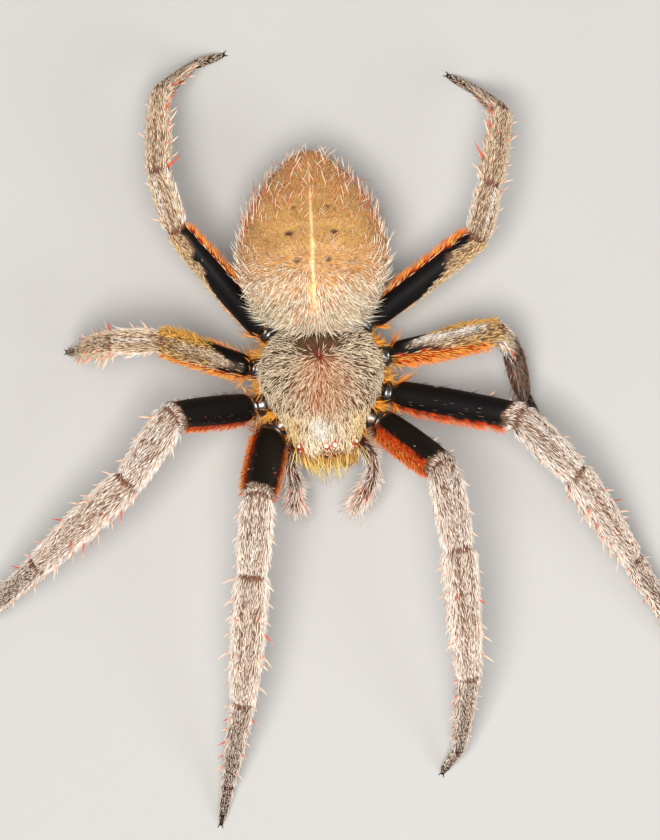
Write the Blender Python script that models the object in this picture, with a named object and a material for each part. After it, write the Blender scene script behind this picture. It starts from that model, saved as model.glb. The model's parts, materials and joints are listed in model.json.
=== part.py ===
"""An orb weaver spider, life size, standing still on its eight feet.

The head looks along -Y, the back is up (+Z) and the spider's own left side is +X.
Sizes below are in millimetres and are put into metres as each piece is made.
"""

import math

import bmesh
import bpy
import numpy as np
from mathutils import Matrix, Vector

MM = 0.001
GAP = 0.05               # open cut between two neighbouring pieces
CUT_TOLERANCE = 1e-5     # points this near a cutting plane count as on it
SHARP_ANGLE = 50         # degrees, edges that turn more than this stay crisp
FLOOR = 0.0
SIDES = {"left": 1.0, "right": -1.0}

# Legs. The chain runs coxa, femur, patella, tibia, metatarsus, tarsus.
LEG_SIDES = 10           # corners round a leg
HIP_HEIGHT = 5.6         # where the trochanter hands over to the femur
COXA_HEIGHT = 5.1        # inner end of the coxa, at the side of the sternum
TIP_HEIGHT = 0.2         # centre of the rounded toe
TOE_RADIUS = 0.3
TIP_ANGLES = (35, 65, 82)    # degrees round the half ball that closes a tip
COXA_ROOTS = {1: (1.55, -2.75), 2: (1.95, -1.15), 3: (1.95, 0.40), 4: (1.60, 1.95)}
HIPS = {1: (3.75, -3.75), 2: (4.80, -1.95), 3: (4.85, 0.75), 4: (3.70, 3.20)}
LENGTHS = {              # femur, patella, tibia, metatarsus, tarsus
    1: (9.5, 5.4, 9.6, 9.1, 3.3),
    2: (9.2, 5.3, 8.9, 8.6, 3.2),
    3: (7.8, 3.1, 4.3, 4.4, 2.1),
    4: (9.6, 4.0, 6.2, 6.3, 2.5),
}
RADII = {                # widest radius of coxa, femur, patella, tibia, metatarsus, tarsus
    1: (0.95, 1.16, 1.20, 1.25, 0.84, 0.45),
    2: (0.93, 1.14, 1.20, 1.22, 0.82, 0.44),
    3: (0.88, 0.96, 0.92, 0.90, 0.62, 0.40),
    4: (0.90, 0.98, 0.95, 0.96, 0.68, 0.42),
}
POSES = {                # headings of femur to tarsus in degrees from +X, then knee heights
    (1, "left"): ((-42, -85, -90, -100, -126), (13.7, 14.1, 10.0, 2.8)),
    (1, "right"): ((-106, -100, -100, -106, -106), (14.1, 12.4, 8.5, 1.9)),
    (2, "left"): ((-16, -51, -60, -63, -60), (9.2, 10.1, 4.9, 1.0)),
    (2, "right"): ((-179, -129, -143, -144, -141), (13.1, 11.6, 8.7, 2.4)),
    (3, "left"): ((6, -51, -80, -68, -55), (8.3, 5.6, 2.8, 0.9)),
    (3, "right"): ((158, 176, -174, -178, 175), (10.4, 10.2, 6.5, 2.15)),
    (4, "left"): ((32, 73, 73, 125, 144), (8.8, 10.9, 7.5, 1.8)),
    (4, "right"): ((125, 103, 85, 42, 16), (9.7, 9.8, 7.1, 1.7)),
}
PROFILES = {             # share of the widest radius along each segment
    "coxa": ((0.0, 0.72), (0.35, 0.90), (0.60, 0.96), (0.74, 0.86), (0.88, 1.0), (1.0, 0.96)),
    "femur": ((0.0, 0.84), (0.12, 0.94), (0.4, 1.0), (0.8, 0.96), (1.0, 0.86)),
    "patella": ((0.0, 0.84), (0.2, 0.98), (0.6, 1.0), (1.0, 0.90)),
    "tibia": ((0.0, 0.88), (0.12, 1.0), (0.6, 0.96), (1.0, 0.74)),
    "metatarsus": ((0.0, 0.98), (0.15, 1.0), (0.6, 0.84), (1.0, 0.60)),
    "tarsus": ((0.0, 1.0), (0.4, 0.90), (1.0, 0.667)),
}

# Head and chest shield (carapace), stations from the back edge to the clypeus.
CARAPACE_BELLY = 6.25    # underside, just over the coxae
CARAPACE_RIM = 0.30      # height of the side edge over the underside
FACE_START = -3.9        # from here forward the underside climbs to make room for the jaws
FACE_SLOPE = 0.42
CARAPACE_SIDES = 24
CARAPACE_RINGS = 18
CARAPACE_STATIONS = (    # along Y, half width, top height, squareness of the arch
    (3.45, 0.9, 7.0, 1.0),
    (2.95, 2.4, 7.7, 1.0),
    (2.1, 3.6, 8.3, 1.0),
    (0.4, 4.3, 8.9, 0.95),
    (-1.2, 4.08, 9.2, 0.9),
    (-2.6, 3.3, 9.4, 0.8),
    (-3.9, 2.5, 9.45, 0.65),
    (-4.9, 2.18, 9.2, 0.62),
    (-5.5, 1.85, 8.6, 0.7),
    (-5.95, 1.1, 7.75, 0.9),
)

# Chest plate (sternum) with the trunk between the coxae, and the waist (pedicel).
TRUNK_TOP = 6.2
TRUNK_SIDES = 14
TRUNK_RINGS = 14
TRUNK_SQUARENESS = 0.7
TRUNK_STATIONS = (       # along Y, half width, bottom height, top height
    (-4.35, 0.45, 4.9, 5.6),
    (-4.1, 0.85, 4.5, 6.0),
    (-2.75, 1.22, 4.2, 6.15),
    (-1.1, 1.72, 4.05, TRUNK_TOP),
    (0.5, 1.75, 4.05, TRUNK_TOP),
    (1.9, 1.32, 4.3, TRUNK_TOP),
    (3.0, 0.7, 5.0, 6.0),
    (3.6, 0.46, 5.35, 6.2),
    (4.75, 0.42, 6.2, 7.05),
)
WAIST_START = Vector((0.0, 3.7, 6.0))
WAIST_END = Vector((0.0, 5.15, 6.90))
WAIST_SOCKET_RADIUS = 0.62
WAIST_SOCKET_SIDES = 12

# Abdomen, stations along its own axis from the front to the tail.
ABDOMEN_SIDES = 24
ABDOMEN_RINGS = 17
ABDOMEN_YAW = 3.1        # degrees, tail towards +X, turned about the waist
ABDOMEN_PIVOT = Vector((0.0, 4.2, 0.0))
ABDOMEN_STATIONS = (     # along Y, half width, bottom height, top height
    (3.00, 0.9, 8.3, 10.0),
    (3.25, 2.1, 7.5, 11.0),
    (3.9, 3.3, 6.6, 12.1),
    (5.0, 4.25, 5.5, 13.2),
    (6.6, 5.0, 4.6, 13.9),
    (8.2, 5.12, 4.2, 13.7),
    (9.9, 4.65, 4.1, 12.9),
    (11.6, 3.85, 4.4, 11.8),
    (13.1, 2.75, 5.3, 10.6),
    (14.3, 1.5, 6.5, 9.3),
    (14.9, 0.4, 7.6, 8.4),
)
SPINNERET_PLACE = Vector((0.45, 12.3, 0.0))
SPINNERET_TOP = 5.2
SPINNERET_BASE = 4.35    # lower face of the disc that carries the six cones
SPINNERET_DISC = 0.88
DISC_SIDES = 14
DISC_TAPER = 0.85        # lower radius of the disc as a share of its upper radius
SEAT_DEPTH = 2.0         # of the cutter that makes room for the disc
SPINNERETS = (           # across and along from the disc's centre, radius, height of the tip
    (0.40, -0.34, 0.30, 3.35),
    (0.27, 0.05, 0.17, 3.85),
    (0.38, 0.42, 0.28, 3.45),
)
SPINNERET_SIDES = 8
SPINNERET_BEND = 0.6     # share of a cone's length where it starts to close
SPINNERET_WIDTHS = (1.0, 0.85, 0.4)      # share of its radius at root, bend and tip
SPINNERET_LEAN = (0.8, 1.3)  # place of a tip across and along, as shares of its root's place

# Jaws, palps and eyes.
JAW_FOOT = 3.3
JAW_RINGS, JAW_SIDES = 7, 12
FANG_RINGS, FANG_SIDES = 6, 8
PALP_BASE_RINGS, PALP_TIP_RINGS = 7, 6
JAW_PATH = ((0.93, -4.7, 8.0), (0.97, -5.0, 7.0), (1.02, -5.35, 5.9), (1.0, -5.5, 4.6), (0.9, -5.45, 3.0))
JAW_RADII = (0.74, 0.88, 0.96, 0.88, 0.58)
FANG_PATH = ((1.05, -5.55, 3.5), (1.0, -5.75, 2.95), (0.68, -5.75, 2.65), (0.3, -5.5, 2.75))
FANG_RADII = (0.26, 0.25, 0.17, 0.07)
PALP_BASE = {            # trochanter, femur and patella
    "left": ((1.95, -4.45, 5.15), (2.45, -5.15, 5.95), (2.85, -6.0, 6.5), (2.90, -6.95, 6.35)),
    "right": ((-1.95, -4.45, 5.15), (-2.5, -5.15, 5.95), (-2.7, -6.0, 6.5), (-2.50, -6.9, 6.35)),
}
PALP_TIP = {             # tibia and tarsus
    "left": ((2.90, -6.95, 6.35), (2.65, -7.7, 5.9), (2.05, -8.6, 5.2), (1.45, -9.3, 4.6)),
    "right": ((-2.50, -6.9, 6.35), (-2.5, -7.6, 5.9), (-2.6, -8.4, 5.2), (-2.6, -9.0, 4.7)),
}
PALP_BASE_RADII = (0.34, 0.44, 0.46, 0.44)
PALP_TIP_RADII = (0.44, 0.48, 0.50, 0.40)
EYES = {                 # place on the left side and radius of each eye
    "median_rear": ((0.29, -5.0, 9.08), 0.21),
    "median_front": ((0.30, -5.62, 8.38), 0.25),
    "lateral_rear": ((1.93, -4.87, 8.32), 0.17),
    "lateral_front": ((1.88, -5.22, 8.05), 0.17),
}
MIDDLE_EYES_SHIFT = 0.17     # the head is rolled a little, which carries its middle eyes to the left
EYE_CLEARANCE = 0.04
EYE_SEGMENTS, EYE_RINGS = 8, 6

FINISHES = {             # colour, roughness
    "black_shell": ((0.014, 0.010, 0.009), 0.18),
    "red_shell": ((0.10, 0.022, 0.012), 0.22),
    "cream_hair": ((0.45, 0.35, 0.29), 0.80),
    "ochre_hide": ((0.36, 0.20, 0.09), 0.75),
    "grey_hair": ((0.27, 0.20, 0.15), 0.80),
    "eye_glass": ((0.02, 0.008, 0.006), 0.06),
}
SEGMENT_FINISH = {
    "coxa": "red_shell",
    "femur": "black_shell",
    "patella": "cream_hair",
    "tibia": "cream_hair",
    "foot": "cream_hair",
}


def clear_scene():
    for thing in list(bpy.data.objects):
        bpy.data.objects.remove(thing, do_unlink=True)


def finish(name):
    """The material of one kind of surface, made the first time it is asked for."""
    material = bpy.data.materials.get(name)
    if material is None:
        colour, roughness = FINISHES[name]
        material = bpy.data.materials.new(name)
        material.use_nodes = True
        shader = material.node_tree.nodes["Principled BSDF"]
        shader.inputs["Base Color"].default_value = (*colour, 1.0)
        shader.inputs["Roughness"].default_value = roughness
        shader.inputs["Metallic"].default_value = 0.0
        material.diffuse_color = (*colour, 1.0)
    return material


def add_piece(name, bm, origin, material, parent):
    """Turns a bmesh in millimetres into a named object that sits at its own origin."""
    bmesh.ops.recalc_face_normals(bm, faces=bm.faces)
    bmesh.ops.translate(bm, verts=bm.verts, vec=-Vector(origin))
    bmesh.ops.scale(bm, verts=bm.verts, vec=(MM, MM, MM))
    mesh = bpy.data.meshes.new(name)
    bm.to_mesh(mesh)
    bm.free()
    mesh.shade_smooth()
    mesh.set_sharp_from_angle(angle=math.radians(SHARP_ANGLE))
    mesh.materials.append(finish(material))
    piece = bpy.data.objects.new(name, mesh)
    bpy.context.collection.objects.link(piece)
    piece.parent = parent
    piece.location = Vector(origin) * MM
    return piece


def curve_through(stations, count):
    """Rows spaced evenly along a smooth curve through the given rows of numbers."""
    rows = np.array(stations, dtype=float)
    padded = np.vstack((2 * rows[0] - rows[1], rows, 2 * rows[-1] - rows[-2]))
    place = np.linspace(0, len(rows) - 1, count)
    index = np.minimum(place.astype(int), len(rows) - 2)
    t = (place - index)[:, None]
    before, here, there, after = (padded[index + k] for k in range(4))
    return 0.5 * (
        2 * here
        + (there - before) * t
        + (2 * before - 5 * here + 4 * there - after) * t**2
        + (3 * here - before - 3 * there + after) * t**3
    )


def widths_through(radii, count):
    """Radii spaced evenly along a smooth curve through the given ones."""
    return [row[0] for row in curve_through([[radius] for radius in radii], count)]


def skin_rings(rings):
    """One closed body through a row of rings that all have the same number of corners."""
    bm = bmesh.new()
    loops = [[bm.verts.new(point) for point in ring] for ring in rings]
    for ring, following in zip(loops, loops[1:]):
        for i in range(len(ring)):
            j = (i + 1) % len(ring)
            bm.faces.new((ring[i], ring[j], following[j], following[i]))
    bm.faces.new(loops[0][::-1])
    bm.faces.new(loops[-1])
    return bm


def ring_points(centre, along, side, radius, corners):
    """Corners of a round ring that stands square to its direction."""
    side = (side - along * side.dot(along)).normalized()
    up = side.cross(along)
    turns = (2 * math.pi * k / corners for k in range(corners))
    return [centre + (side * math.cos(a) + up * math.sin(a)) * radius for a in turns]


def tube(path, radii, side, corners):
    """A round tube along a path of points, with a radius at each point."""
    path = [Vector(point) for point in path]
    rings = []
    for k, centre in enumerate(path):
        along = (path[min(k + 1, len(path) - 1)] - path[max(k - 1, 0)]).normalized()
        rings.append(ring_points(centre, along, side, radii[k], corners))
    return skin_rings(rings)


def rounded_tip(end, along, radius):
    """Stations that close a tube with a half ball."""
    for angle in TIP_ANGLES:
        a = math.radians(angle)
        yield end + along * radius * math.sin(a), radius * math.cos(a)


def cut_flat(bm, point, normal):
    """Cuts away what lies beyond a plane and closes the cut."""
    geometry = bm.verts[:] + bm.edges[:] + bm.faces[:]
    bmesh.ops.bisect_plane(
        bm, geom=geometry, dist=CUT_TOLERANCE, plane_co=point, plane_no=normal, clear_outer=True
    )
    open_edges = [edge for edge in bm.edges if edge.is_boundary]
    bmesh.ops.holes_fill(bm, edges=open_edges, sides=0)


def leg_joints(leg, side):
    """The seven joints of a leg, from the side of the sternum to the toe."""
    mirror = SIDES[side]
    root = Vector((COXA_ROOTS[leg][0] * mirror, COXA_ROOTS[leg][1], COXA_HEIGHT))
    hip = Vector((HIPS[leg][0] * mirror, HIPS[leg][1], HIP_HEIGHT))
    joints = [root, hip]
    headings, heights = POSES[leg, side]
    for length, heading, height in zip(LENGTHS[leg], headings, (*heights, TIP_HEIGHT)):
        drop = height - joints[-1].z
        reach = math.sqrt(length**2 - drop**2)
        turn = math.radians(heading)
        joints.append(joints[-1] + Vector((reach * math.cos(turn), reach * math.sin(turn), drop)))
    return joints


def segment_stations(kind, start, end, radius, before=0.0, after=0.0):
    """Centres and radii along one leg segment, run on past both joints for the cuts."""
    along = (end - start).normalized()
    stations = []
    if before:
        stations.append((start - along * before, radius * PROFILES[kind][0][1]))
    for t, width in PROFILES[kind]:
        stations.append((start.lerp(end, t), radius * width))
    if after:
        stations.append((end + along * after, radius * PROFILES[kind][-1][1]))
    return stations


def add_leg(leg, side, parent):
    joints = leg_joints(leg, side)
    ways = [(b - a).normalized() for a, b in zip(joints, joints[1:])]
    radii = RADII[leg]
    hinge = Vector((0, 0, 1)).cross(ways[2]).normalized()
    kinds = ("coxa", "femur", "patella", "tibia", "foot")
    for k, kind in enumerate(kinds):
        overrun = radii[k]
        if kind == "foot":
            stations = segment_stations("metatarsus", joints[4], joints[5], radii[4], before=overrun)
            stations += segment_stations("tarsus", joints[5], joints[6], radii[5])[1:]
            stations += rounded_tip(joints[6], ways[5], TOE_RADIUS)
        else:
            before = overrun if k else 0.0
            stations = segment_stations(kind, joints[k], joints[k + 1], radii[k], before, overrun)
        path, widths = zip(*stations)
        bm = tube(path, widths, hinge, LEG_SIDES)
        if k:
            mitre = (ways[k - 1] + ways[k]).normalized()
            cut_flat(bm, joints[k] + mitre * GAP / 2, -mitre)
        if kind == "foot":
            cut_flat(bm, Vector((0, 0, FLOOR)), Vector((0, 0, -1)))
        else:
            mitre = (ways[k] + ways[k + 1]).normalized()
            cut_flat(bm, joints[k + 1] - mitre * GAP / 2, mitre)
        add_piece(f"leg_{leg}_{side}_{kind}", bm, joints[k], SEGMENT_FINISH[kind], parent)


def carapace_ring(y, half_width, top, squareness):
    """An arch over a nearly flat underside."""
    belly = CARAPACE_BELLY + FACE_SLOPE * max(0.0, FACE_START - y)
    rim = belly + CARAPACE_RIM
    ring = []
    for k in range(CARAPACE_SIDES):
        a = 2 * math.pi * k / CARAPACE_SIDES
        rise = math.sin(a)
        if rise >= 0:
            z = rim + (top - rim) * rise**squareness
        else:
            z = rim + (rim - belly) * rise
        ring.append(Vector((half_width * math.cos(a), y, z)))
    return ring


def cutter(name, bm, parent):
    """A hidden helper that a Boolean takes away from its host."""
    tool = add_piece(name, bm, (0, 0, 0), "black_shell", parent)
    tool.hide_render = True
    tool.display_type = "WIRE"
    return tool


def combine(host, tool, operation="DIFFERENCE"):
    modifier = host.modifiers.new(tool.name, "BOOLEAN")
    modifier.operation = operation
    modifier.solver = "EXACT"
    modifier.object = tool


def ball(centre, radius):
    bm = bmesh.new()
    bmesh.ops.create_uvsphere(
        bm,
        u_segments=EYE_SEGMENTS,
        v_segments=EYE_RINGS,
        radius=radius,
        matrix=Matrix.Translation(centre),
    )
    return bm


def add_carapace(parent):
    rows = curve_through(CARAPACE_STATIONS, CARAPACE_RINGS)
    bm = skin_rings([carapace_ring(*row) for row in rows])
    carapace = add_piece("carapace", bm, (0, 0, CARAPACE_BELLY), "grey_hair", parent)
    for side, mirror in SIDES.items():
        for kind, (place, radius) in EYES.items():
            shift = MIDDLE_EYES_SHIFT if kind.startswith("median") else 0.0
            centre = Vector((place[0] * mirror + shift, place[1], place[2]))
            add_piece(f"eye_{kind}_{side}", ball(centre, radius), centre, "eye_glass", parent)
            socket = cutter(f"socket_{kind}_{side}", ball(centre, radius + EYE_CLEARANCE), parent)
            combine(carapace, socket)


def oval_ring(y, half_width, bottom, top, corners, squareness=1.0):
    """An upright ring between two heights, squared off when squareness is under 1."""
    middle, half_height = (bottom + top) / 2, (top - bottom) / 2
    ring = []
    for k in range(corners):
        a = 2 * math.pi * k / corners
        across, rise = (math.copysign(abs(f(a)) ** squareness, f(a)) for f in (math.cos, math.sin))
        ring.append(Vector((half_width * across, y, middle + half_height * rise)))
    return ring


def add_trunk(parent):
    rows = curve_through(TRUNK_STATIONS, TRUNK_RINGS)
    bm = skin_rings([oval_ring(*row, TRUNK_SIDES, TRUNK_SQUARENESS) for row in rows])
    add_piece("sternum", bm, (0, 0, TRUNK_TOP), "red_shell", parent)


def add_spinnerets(place, parent):
    """Three pairs of short cones on one disc, joined by union into one body."""
    disc = bmesh.new()
    height = SPINNERET_TOP - SPINNERET_BASE
    centre = place + Vector((0, 0, SPINNERET_BASE + height / 2))
    bmesh.ops.create_cone(
        disc,
        cap_ends=True,
        segments=DISC_SIDES,
        radius1=SPINNERET_DISC * DISC_TAPER,
        radius2=SPINNERET_DISC,
        depth=height,
        matrix=Matrix.Translation(centre),
    )
    piece = add_piece("spinnerets", disc, place, "red_shell", parent)
    for number, (x, y, radius, tip) in enumerate(SPINNERETS):
        for side, mirror in SIDES.items():
            root = place + Vector((x * mirror, y, SPINNERET_BASE + height / 3))
            lean, trail = SPINNERET_LEAN
            end = place + Vector((x * lean * mirror, y * trail, tip))
            path = (root, root.lerp(end, SPINNERET_BEND), end)
            widths = [radius * share for share in SPINNERET_WIDTHS]
            bm = tube(path, widths, Vector((1, 0, 0)), SPINNERET_SIDES)
            cone = cutter(f"spinneret_{number}_{side}", bm, parent)
            combine(piece, cone, "UNION")


def add_abdomen(parent):
    rings = [oval_ring(*row, ABDOMEN_SIDES) for row in curve_through(ABDOMEN_STATIONS, ABDOMEN_RINGS)]
    bm = skin_rings(rings)
    turn = Matrix.Rotation(math.radians(-ABDOMEN_YAW), 3, "Z")
    bmesh.ops.rotate(bm, verts=bm.verts, cent=ABDOMEN_PIVOT, matrix=turn)
    abdomen = add_piece("abdomen", bm, ABDOMEN_PIVOT, "ochre_hide", parent)
    way = (WAIST_END - WAIST_START).normalized()
    path = (WAIST_START, WAIST_END + way * GAP)
    hollow = tube(path, (WAIST_SOCKET_RADIUS,) * 2, Vector((1, 0, 0)), WAIST_SOCKET_SIDES)
    combine(abdomen, cutter("waist_socket", hollow, parent))
    seat = bmesh.new()
    bmesh.ops.create_cone(
        seat,
        cap_ends=True,
        segments=DISC_SIDES,
        radius1=SPINNERET_DISC + GAP,
        radius2=SPINNERET_DISC + GAP,
        depth=SEAT_DEPTH,
        matrix=Matrix.Translation(SPINNERET_PLACE + Vector((0, 0, SPINNERET_TOP + GAP - SEAT_DEPTH / 2))),
    )
    combine(abdomen, cutter("spinneret_seat", seat, parent))


def add_mouthparts(side, parent):
    mirror = SIDES[side]
    sideways = Vector((1, 0, 0))
    jaw = curve_through(JAW_PATH, JAW_RINGS)
    jaw[:, 0] *= mirror
    bm = tube(jaw, widths_through(JAW_RADII, JAW_RINGS), sideways, JAW_SIDES)
    face_corner = Vector((0, FACE_START, CARAPACE_BELLY - GAP))
    cut_flat(bm, face_corner, Vector((0, FACE_SLOPE, 1)).normalized())
    cut_flat(bm, Vector((0, 0, JAW_FOOT)), Vector((0, 0, -1)))
    add_piece(f"chelicera_{side}", bm, jaw[0], "red_shell", parent)

    fang = curve_through(FANG_PATH, FANG_RINGS)
    fang[:, 0] *= mirror
    bm = tube(fang, widths_through(FANG_RADII, FANG_RINGS), Vector((0, 1, 0)), FANG_SIDES)
    cut_flat(bm, Vector((0, 0, JAW_FOOT - GAP)), Vector((0, 0, 1)))
    add_piece(f"fang_{side}", bm, fang[0], "black_shell", parent)


def add_palp(side, parent):
    sideways = Vector((1, 0, 0))
    base = [Vector(p) for p in curve_through(PALP_BASE[side], PALP_BASE_RINGS)]
    tip = [Vector(p) for p in curve_through(PALP_TIP[side], PALP_TIP_RINGS)]
    base_radii = widths_through(PALP_BASE_RADII, PALP_BASE_RINGS)
    tip_radii = widths_through(PALP_TIP_RADII, PALP_TIP_RINGS)
    cut = ((base[-1] - base[-2]).normalized() + (tip[1] - tip[0]).normalized()).normalized()

    base.append(base[-1] + (base[-1] - base[-2]).normalized() * base_radii[-1])
    base_radii.append(base_radii[-1])
    bm = tube(base, base_radii, sideways, LEG_SIDES)
    cut_flat(bm, tip[0] - cut * GAP / 2, cut)
    add_piece(f"palp_{side}_base", bm, base[0], "cream_hair", parent)

    joint = tip[0]
    end_way = (tip[-1] - tip[-2]).normalized()
    for point, radius in list(rounded_tip(tip[-1], end_way, tip_radii[-1])):
        tip.append(point)
        tip_radii.append(radius)
    tip.insert(0, joint - (tip[1] - joint).normalized() * tip_radii[0])
    tip_radii.insert(0, tip_radii[0])
    bm = tube(tip, tip_radii, sideways, LEG_SIDES)
    cut_flat(bm, joint + cut * GAP / 2, -cut)
    add_piece(f"palp_{side}_tip", bm, joint, "cream_hair", parent)


def stand_over_origin(body):
    """Moves the whole spider so that the middle of its box is over the origin."""
    bpy.context.view_layer.update()
    corners = [
        piece.matrix_world @ vertex.co
        for piece in bpy.data.objects
        if piece.type == "MESH" and not piece.hide_render
        for vertex in piece.data.vertices
    ]
    for axis in (0, 1):
        low = min(corner[axis] for corner in corners)
        high = max(corner[axis] for corner in corners)
        body.location[axis] = -(low + high) / 2


def main():
    clear_scene()
    body = bpy.data.objects.new("spider", None)
    bpy.context.collection.objects.link(body)
    for side in SIDES:
        for leg in LENGTHS:
            add_leg(leg, side, body)
        add_mouthparts(side, body)
        add_palp(side, body)
    add_carapace(body)
    add_trunk(body)
    add_abdomen(body)
    add_spinnerets(SPINNERET_PLACE, body)
    stand_over_origin(body)


main()
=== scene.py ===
# %% [markdown]
# # An orb weaver spider, seta by seta
#
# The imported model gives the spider's true outline: sixty plain solids that stand on the floor.
# This lesson puts the animal over them. Each limb and shield gets one smooth skin that is measured
# from its solids, and each skin grows a coat of setae, the stiff flat hairs of a spider.
# Lengths are in millimetres until a mesh is made, because Blender's own unit here is the metre.

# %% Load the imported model
import json
import math

import bpy
import numpy as np
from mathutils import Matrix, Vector


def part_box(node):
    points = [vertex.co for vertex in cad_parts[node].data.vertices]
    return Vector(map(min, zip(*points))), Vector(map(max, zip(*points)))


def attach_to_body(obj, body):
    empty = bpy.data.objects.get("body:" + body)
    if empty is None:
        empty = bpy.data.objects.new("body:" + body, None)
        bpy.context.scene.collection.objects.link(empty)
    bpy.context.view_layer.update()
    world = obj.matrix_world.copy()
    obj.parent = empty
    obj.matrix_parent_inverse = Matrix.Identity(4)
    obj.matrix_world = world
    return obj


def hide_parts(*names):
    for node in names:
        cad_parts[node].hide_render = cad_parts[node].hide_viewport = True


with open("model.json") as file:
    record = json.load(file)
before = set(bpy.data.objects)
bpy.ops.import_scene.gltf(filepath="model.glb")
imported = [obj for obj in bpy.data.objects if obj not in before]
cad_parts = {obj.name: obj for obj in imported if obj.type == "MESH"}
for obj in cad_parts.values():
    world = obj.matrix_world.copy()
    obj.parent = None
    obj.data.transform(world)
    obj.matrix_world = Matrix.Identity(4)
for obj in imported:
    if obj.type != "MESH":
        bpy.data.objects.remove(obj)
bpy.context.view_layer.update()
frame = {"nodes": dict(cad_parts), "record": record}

MM = 0.001
LEGS = (1, 2, 3, 4)
SIDES = {"left": 1.0, "right": -1.0}
SPIDER_BODY = "root"

# %% [markdown]
# ## Nodes that read like sums
#
# A material is a small calculation made at each point of a surface, and a geometry tree is a small
# calculation made on a mesh. Both are drawn as boxes and wires, but a long chain of boxes is hard
# to read in a script. So one class holds a wire's end, and Python's own + - * / add the boxes.

# %% One class for wires
class Wire:
    """The end of a wire in a node tree. Sums on it add Math nodes."""

    def __init__(self, tree, socket=None):
        self.tree, self.socket = tree, socket

    def node(self, kind, settings=None, values=None, output=0):
        """Adds any node: its settings first, then its sockets' values or wires."""
        made = self.tree.nodes.new(kind)
        for name, setting in (settings or {}).items():
            setattr(made, name, setting)
        for key, value in (values or {}).items():
            socket = made.inputs[key]
            if isinstance(value, Wire):
                self.tree.links.new(value.socket, socket)
            elif value is not None:
                socket.default_value = value
        return Wire(self.tree, made.outputs[output] if made.outputs else None)

    def also(self, output):
        """Another output of the node that this wire comes from."""
        return Wire(self.tree, self.socket.node.outputs[output])

    def maths(self, operation, *values):
        return self.node("ShaderNodeMath", {"operation": operation}, dict(enumerate(values)))

    def vector(self, operation, *values, output=0):
        settings = {"operation": operation}
        return self.node("ShaderNodeVectorMath", settings, dict(enumerate(values)), output)

    def __add__(self, other):
        return self.maths("ADD", self, other)

    def __sub__(self, other):
        return self.maths("SUBTRACT", self, other)

    def __rsub__(self, other):
        return self.maths("SUBTRACT", other, self)

    def __mul__(self, other):
        return self.maths("MULTIPLY", self, other)

    def __truediv__(self, other):
        return self.maths("DIVIDE", self, other)

    def __rtruediv__(self, other):
        return self.maths("DIVIDE", other, self)

    __radd__, __rmul__ = __add__, __mul__

    def between(self, low, high):
        """0 below low, 1 above high, and a smooth climb between them."""
        settings = {"interpolation_type": "SMOOTHSTEP"}
        return self.node("ShaderNodeMapRange", settings, {0: self, 1: low, 2: high})

    def mix(self, colour, other):
        """From one colour to another as this wire goes from 0 to 1."""
        settings = {"data_type": "RGBA", "clamp_factor": True}
        return self.node("ShaderNodeMix", settings, {0: self, 6: colour, 7: other}, 2)

# %% [markdown]
# ## Measuring the solids
#
# A skin has to lie inside its solid by the depth of the coat, all the way round. The surest way is
# to slice the solid across, as a loaf is sliced, and to feel outwards from the middle of each slice.
# The distances are then smoothed round the slice, which takes away the corners of the solid.

# %% Slices
def corners_of(node):
    """Every triangle of a CAD node, as three points in millimetres."""
    mesh = frame["nodes"][node].data
    mesh.calc_loop_triangles()
    places = np.empty(len(mesh.vertices) * 3)
    mesh.vertices.foreach_get("co", places)
    index = np.empty(len(mesh.loop_triangles) * 3, dtype=np.int32)
    mesh.loop_triangles.foreach_get("vertices", index)
    return places.reshape(-1, 3)[index].reshape(-1, 3, 3) / MM


def box_of(node):
    """Lowest and highest corner of a CAD node, in millimetres."""
    return (np.array(corner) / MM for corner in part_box(node))


def unit(vectors):
    """The same directions, each one unit long."""
    vectors = np.asarray(vectors, dtype=float)
    return vectors / np.maximum(np.linalg.norm(vectors, axis=-1, keepdims=True), 1e-12)


def slice_edges(corners, centre, side, up):
    """The short lines, in the slice's own two directions, where a plane cuts the triangles."""
    local = corners - centre
    height = local @ unit(np.cross(side, up))
    flat = np.stack((local @ side, local @ up), axis=-1)
    ends = []
    for i, j in ((0, 1), (1, 2), (2, 0)):
        crossed = (height[:, i] > 0) != (height[:, j] > 0)
        fall = np.where(crossed, height[:, i] - height[:, j], 1.0)
        point = flat[:, i] + (flat[:, j] - flat[:, i]) * (height[:, i] / fall)[:, None]
        ends.append(np.where(crossed[:, None], point, np.nan))
    ends = np.stack(ends, axis=1)
    missed = np.isnan(ends[:, :, 0])
    cut = missed.sum(axis=1) == 1
    order = np.argsort(missed[cut], axis=1, kind="stable")[:, :2]
    return np.take_along_axis(ends[cut], order[:, :, None], axis=1)


def slice_of(corners, centre, along, side, turns):
    """Middle of a slice, its two directions, and its reach from the middle at each turn."""
    side = unit(side - along * (side @ along))
    up = np.cross(along, side)
    edges = slice_edges(corners, centre + along * 1e-6, side, up)
    if not len(edges):
        return None
    middle = (edges.min(axis=(0, 1)) + edges.max(axis=(0, 1))) / 2
    start, run = edges[:, 0] - middle, edges[:, 1] - edges[:, 0]
    ray = np.stack((np.cos(turns), np.sin(turns)), axis=-1)[:, None]
    cross_run = ray[..., 0] * run[:, 1] - ray[..., 1] * run[:, 0]
    cross_start = ray[..., 0] * start[:, 1] - ray[..., 1] * start[:, 0]
    share = -cross_start / np.where(abs(cross_run) < 1e-9, 1e-9, cross_run)
    reach = ((start + run * share[..., None]) * ray).sum(axis=-1)
    hit = (share > -1e-6) & (share < 1 + 1e-6) & (reach > 0)
    reach = np.where(hit, reach, 0).max(axis=1)
    return centre + side * middle[0] + up * middle[1], side, up, reach


def rounded(reach, waves):
    """Keeps only the slow waves round a slice."""
    spectrum = np.fft.rfft(reach, axis=-1)
    spectrum[..., waves + 1:] = 0
    return np.fft.irfft(spectrum, reach.shape[-1], axis=-1)


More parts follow.
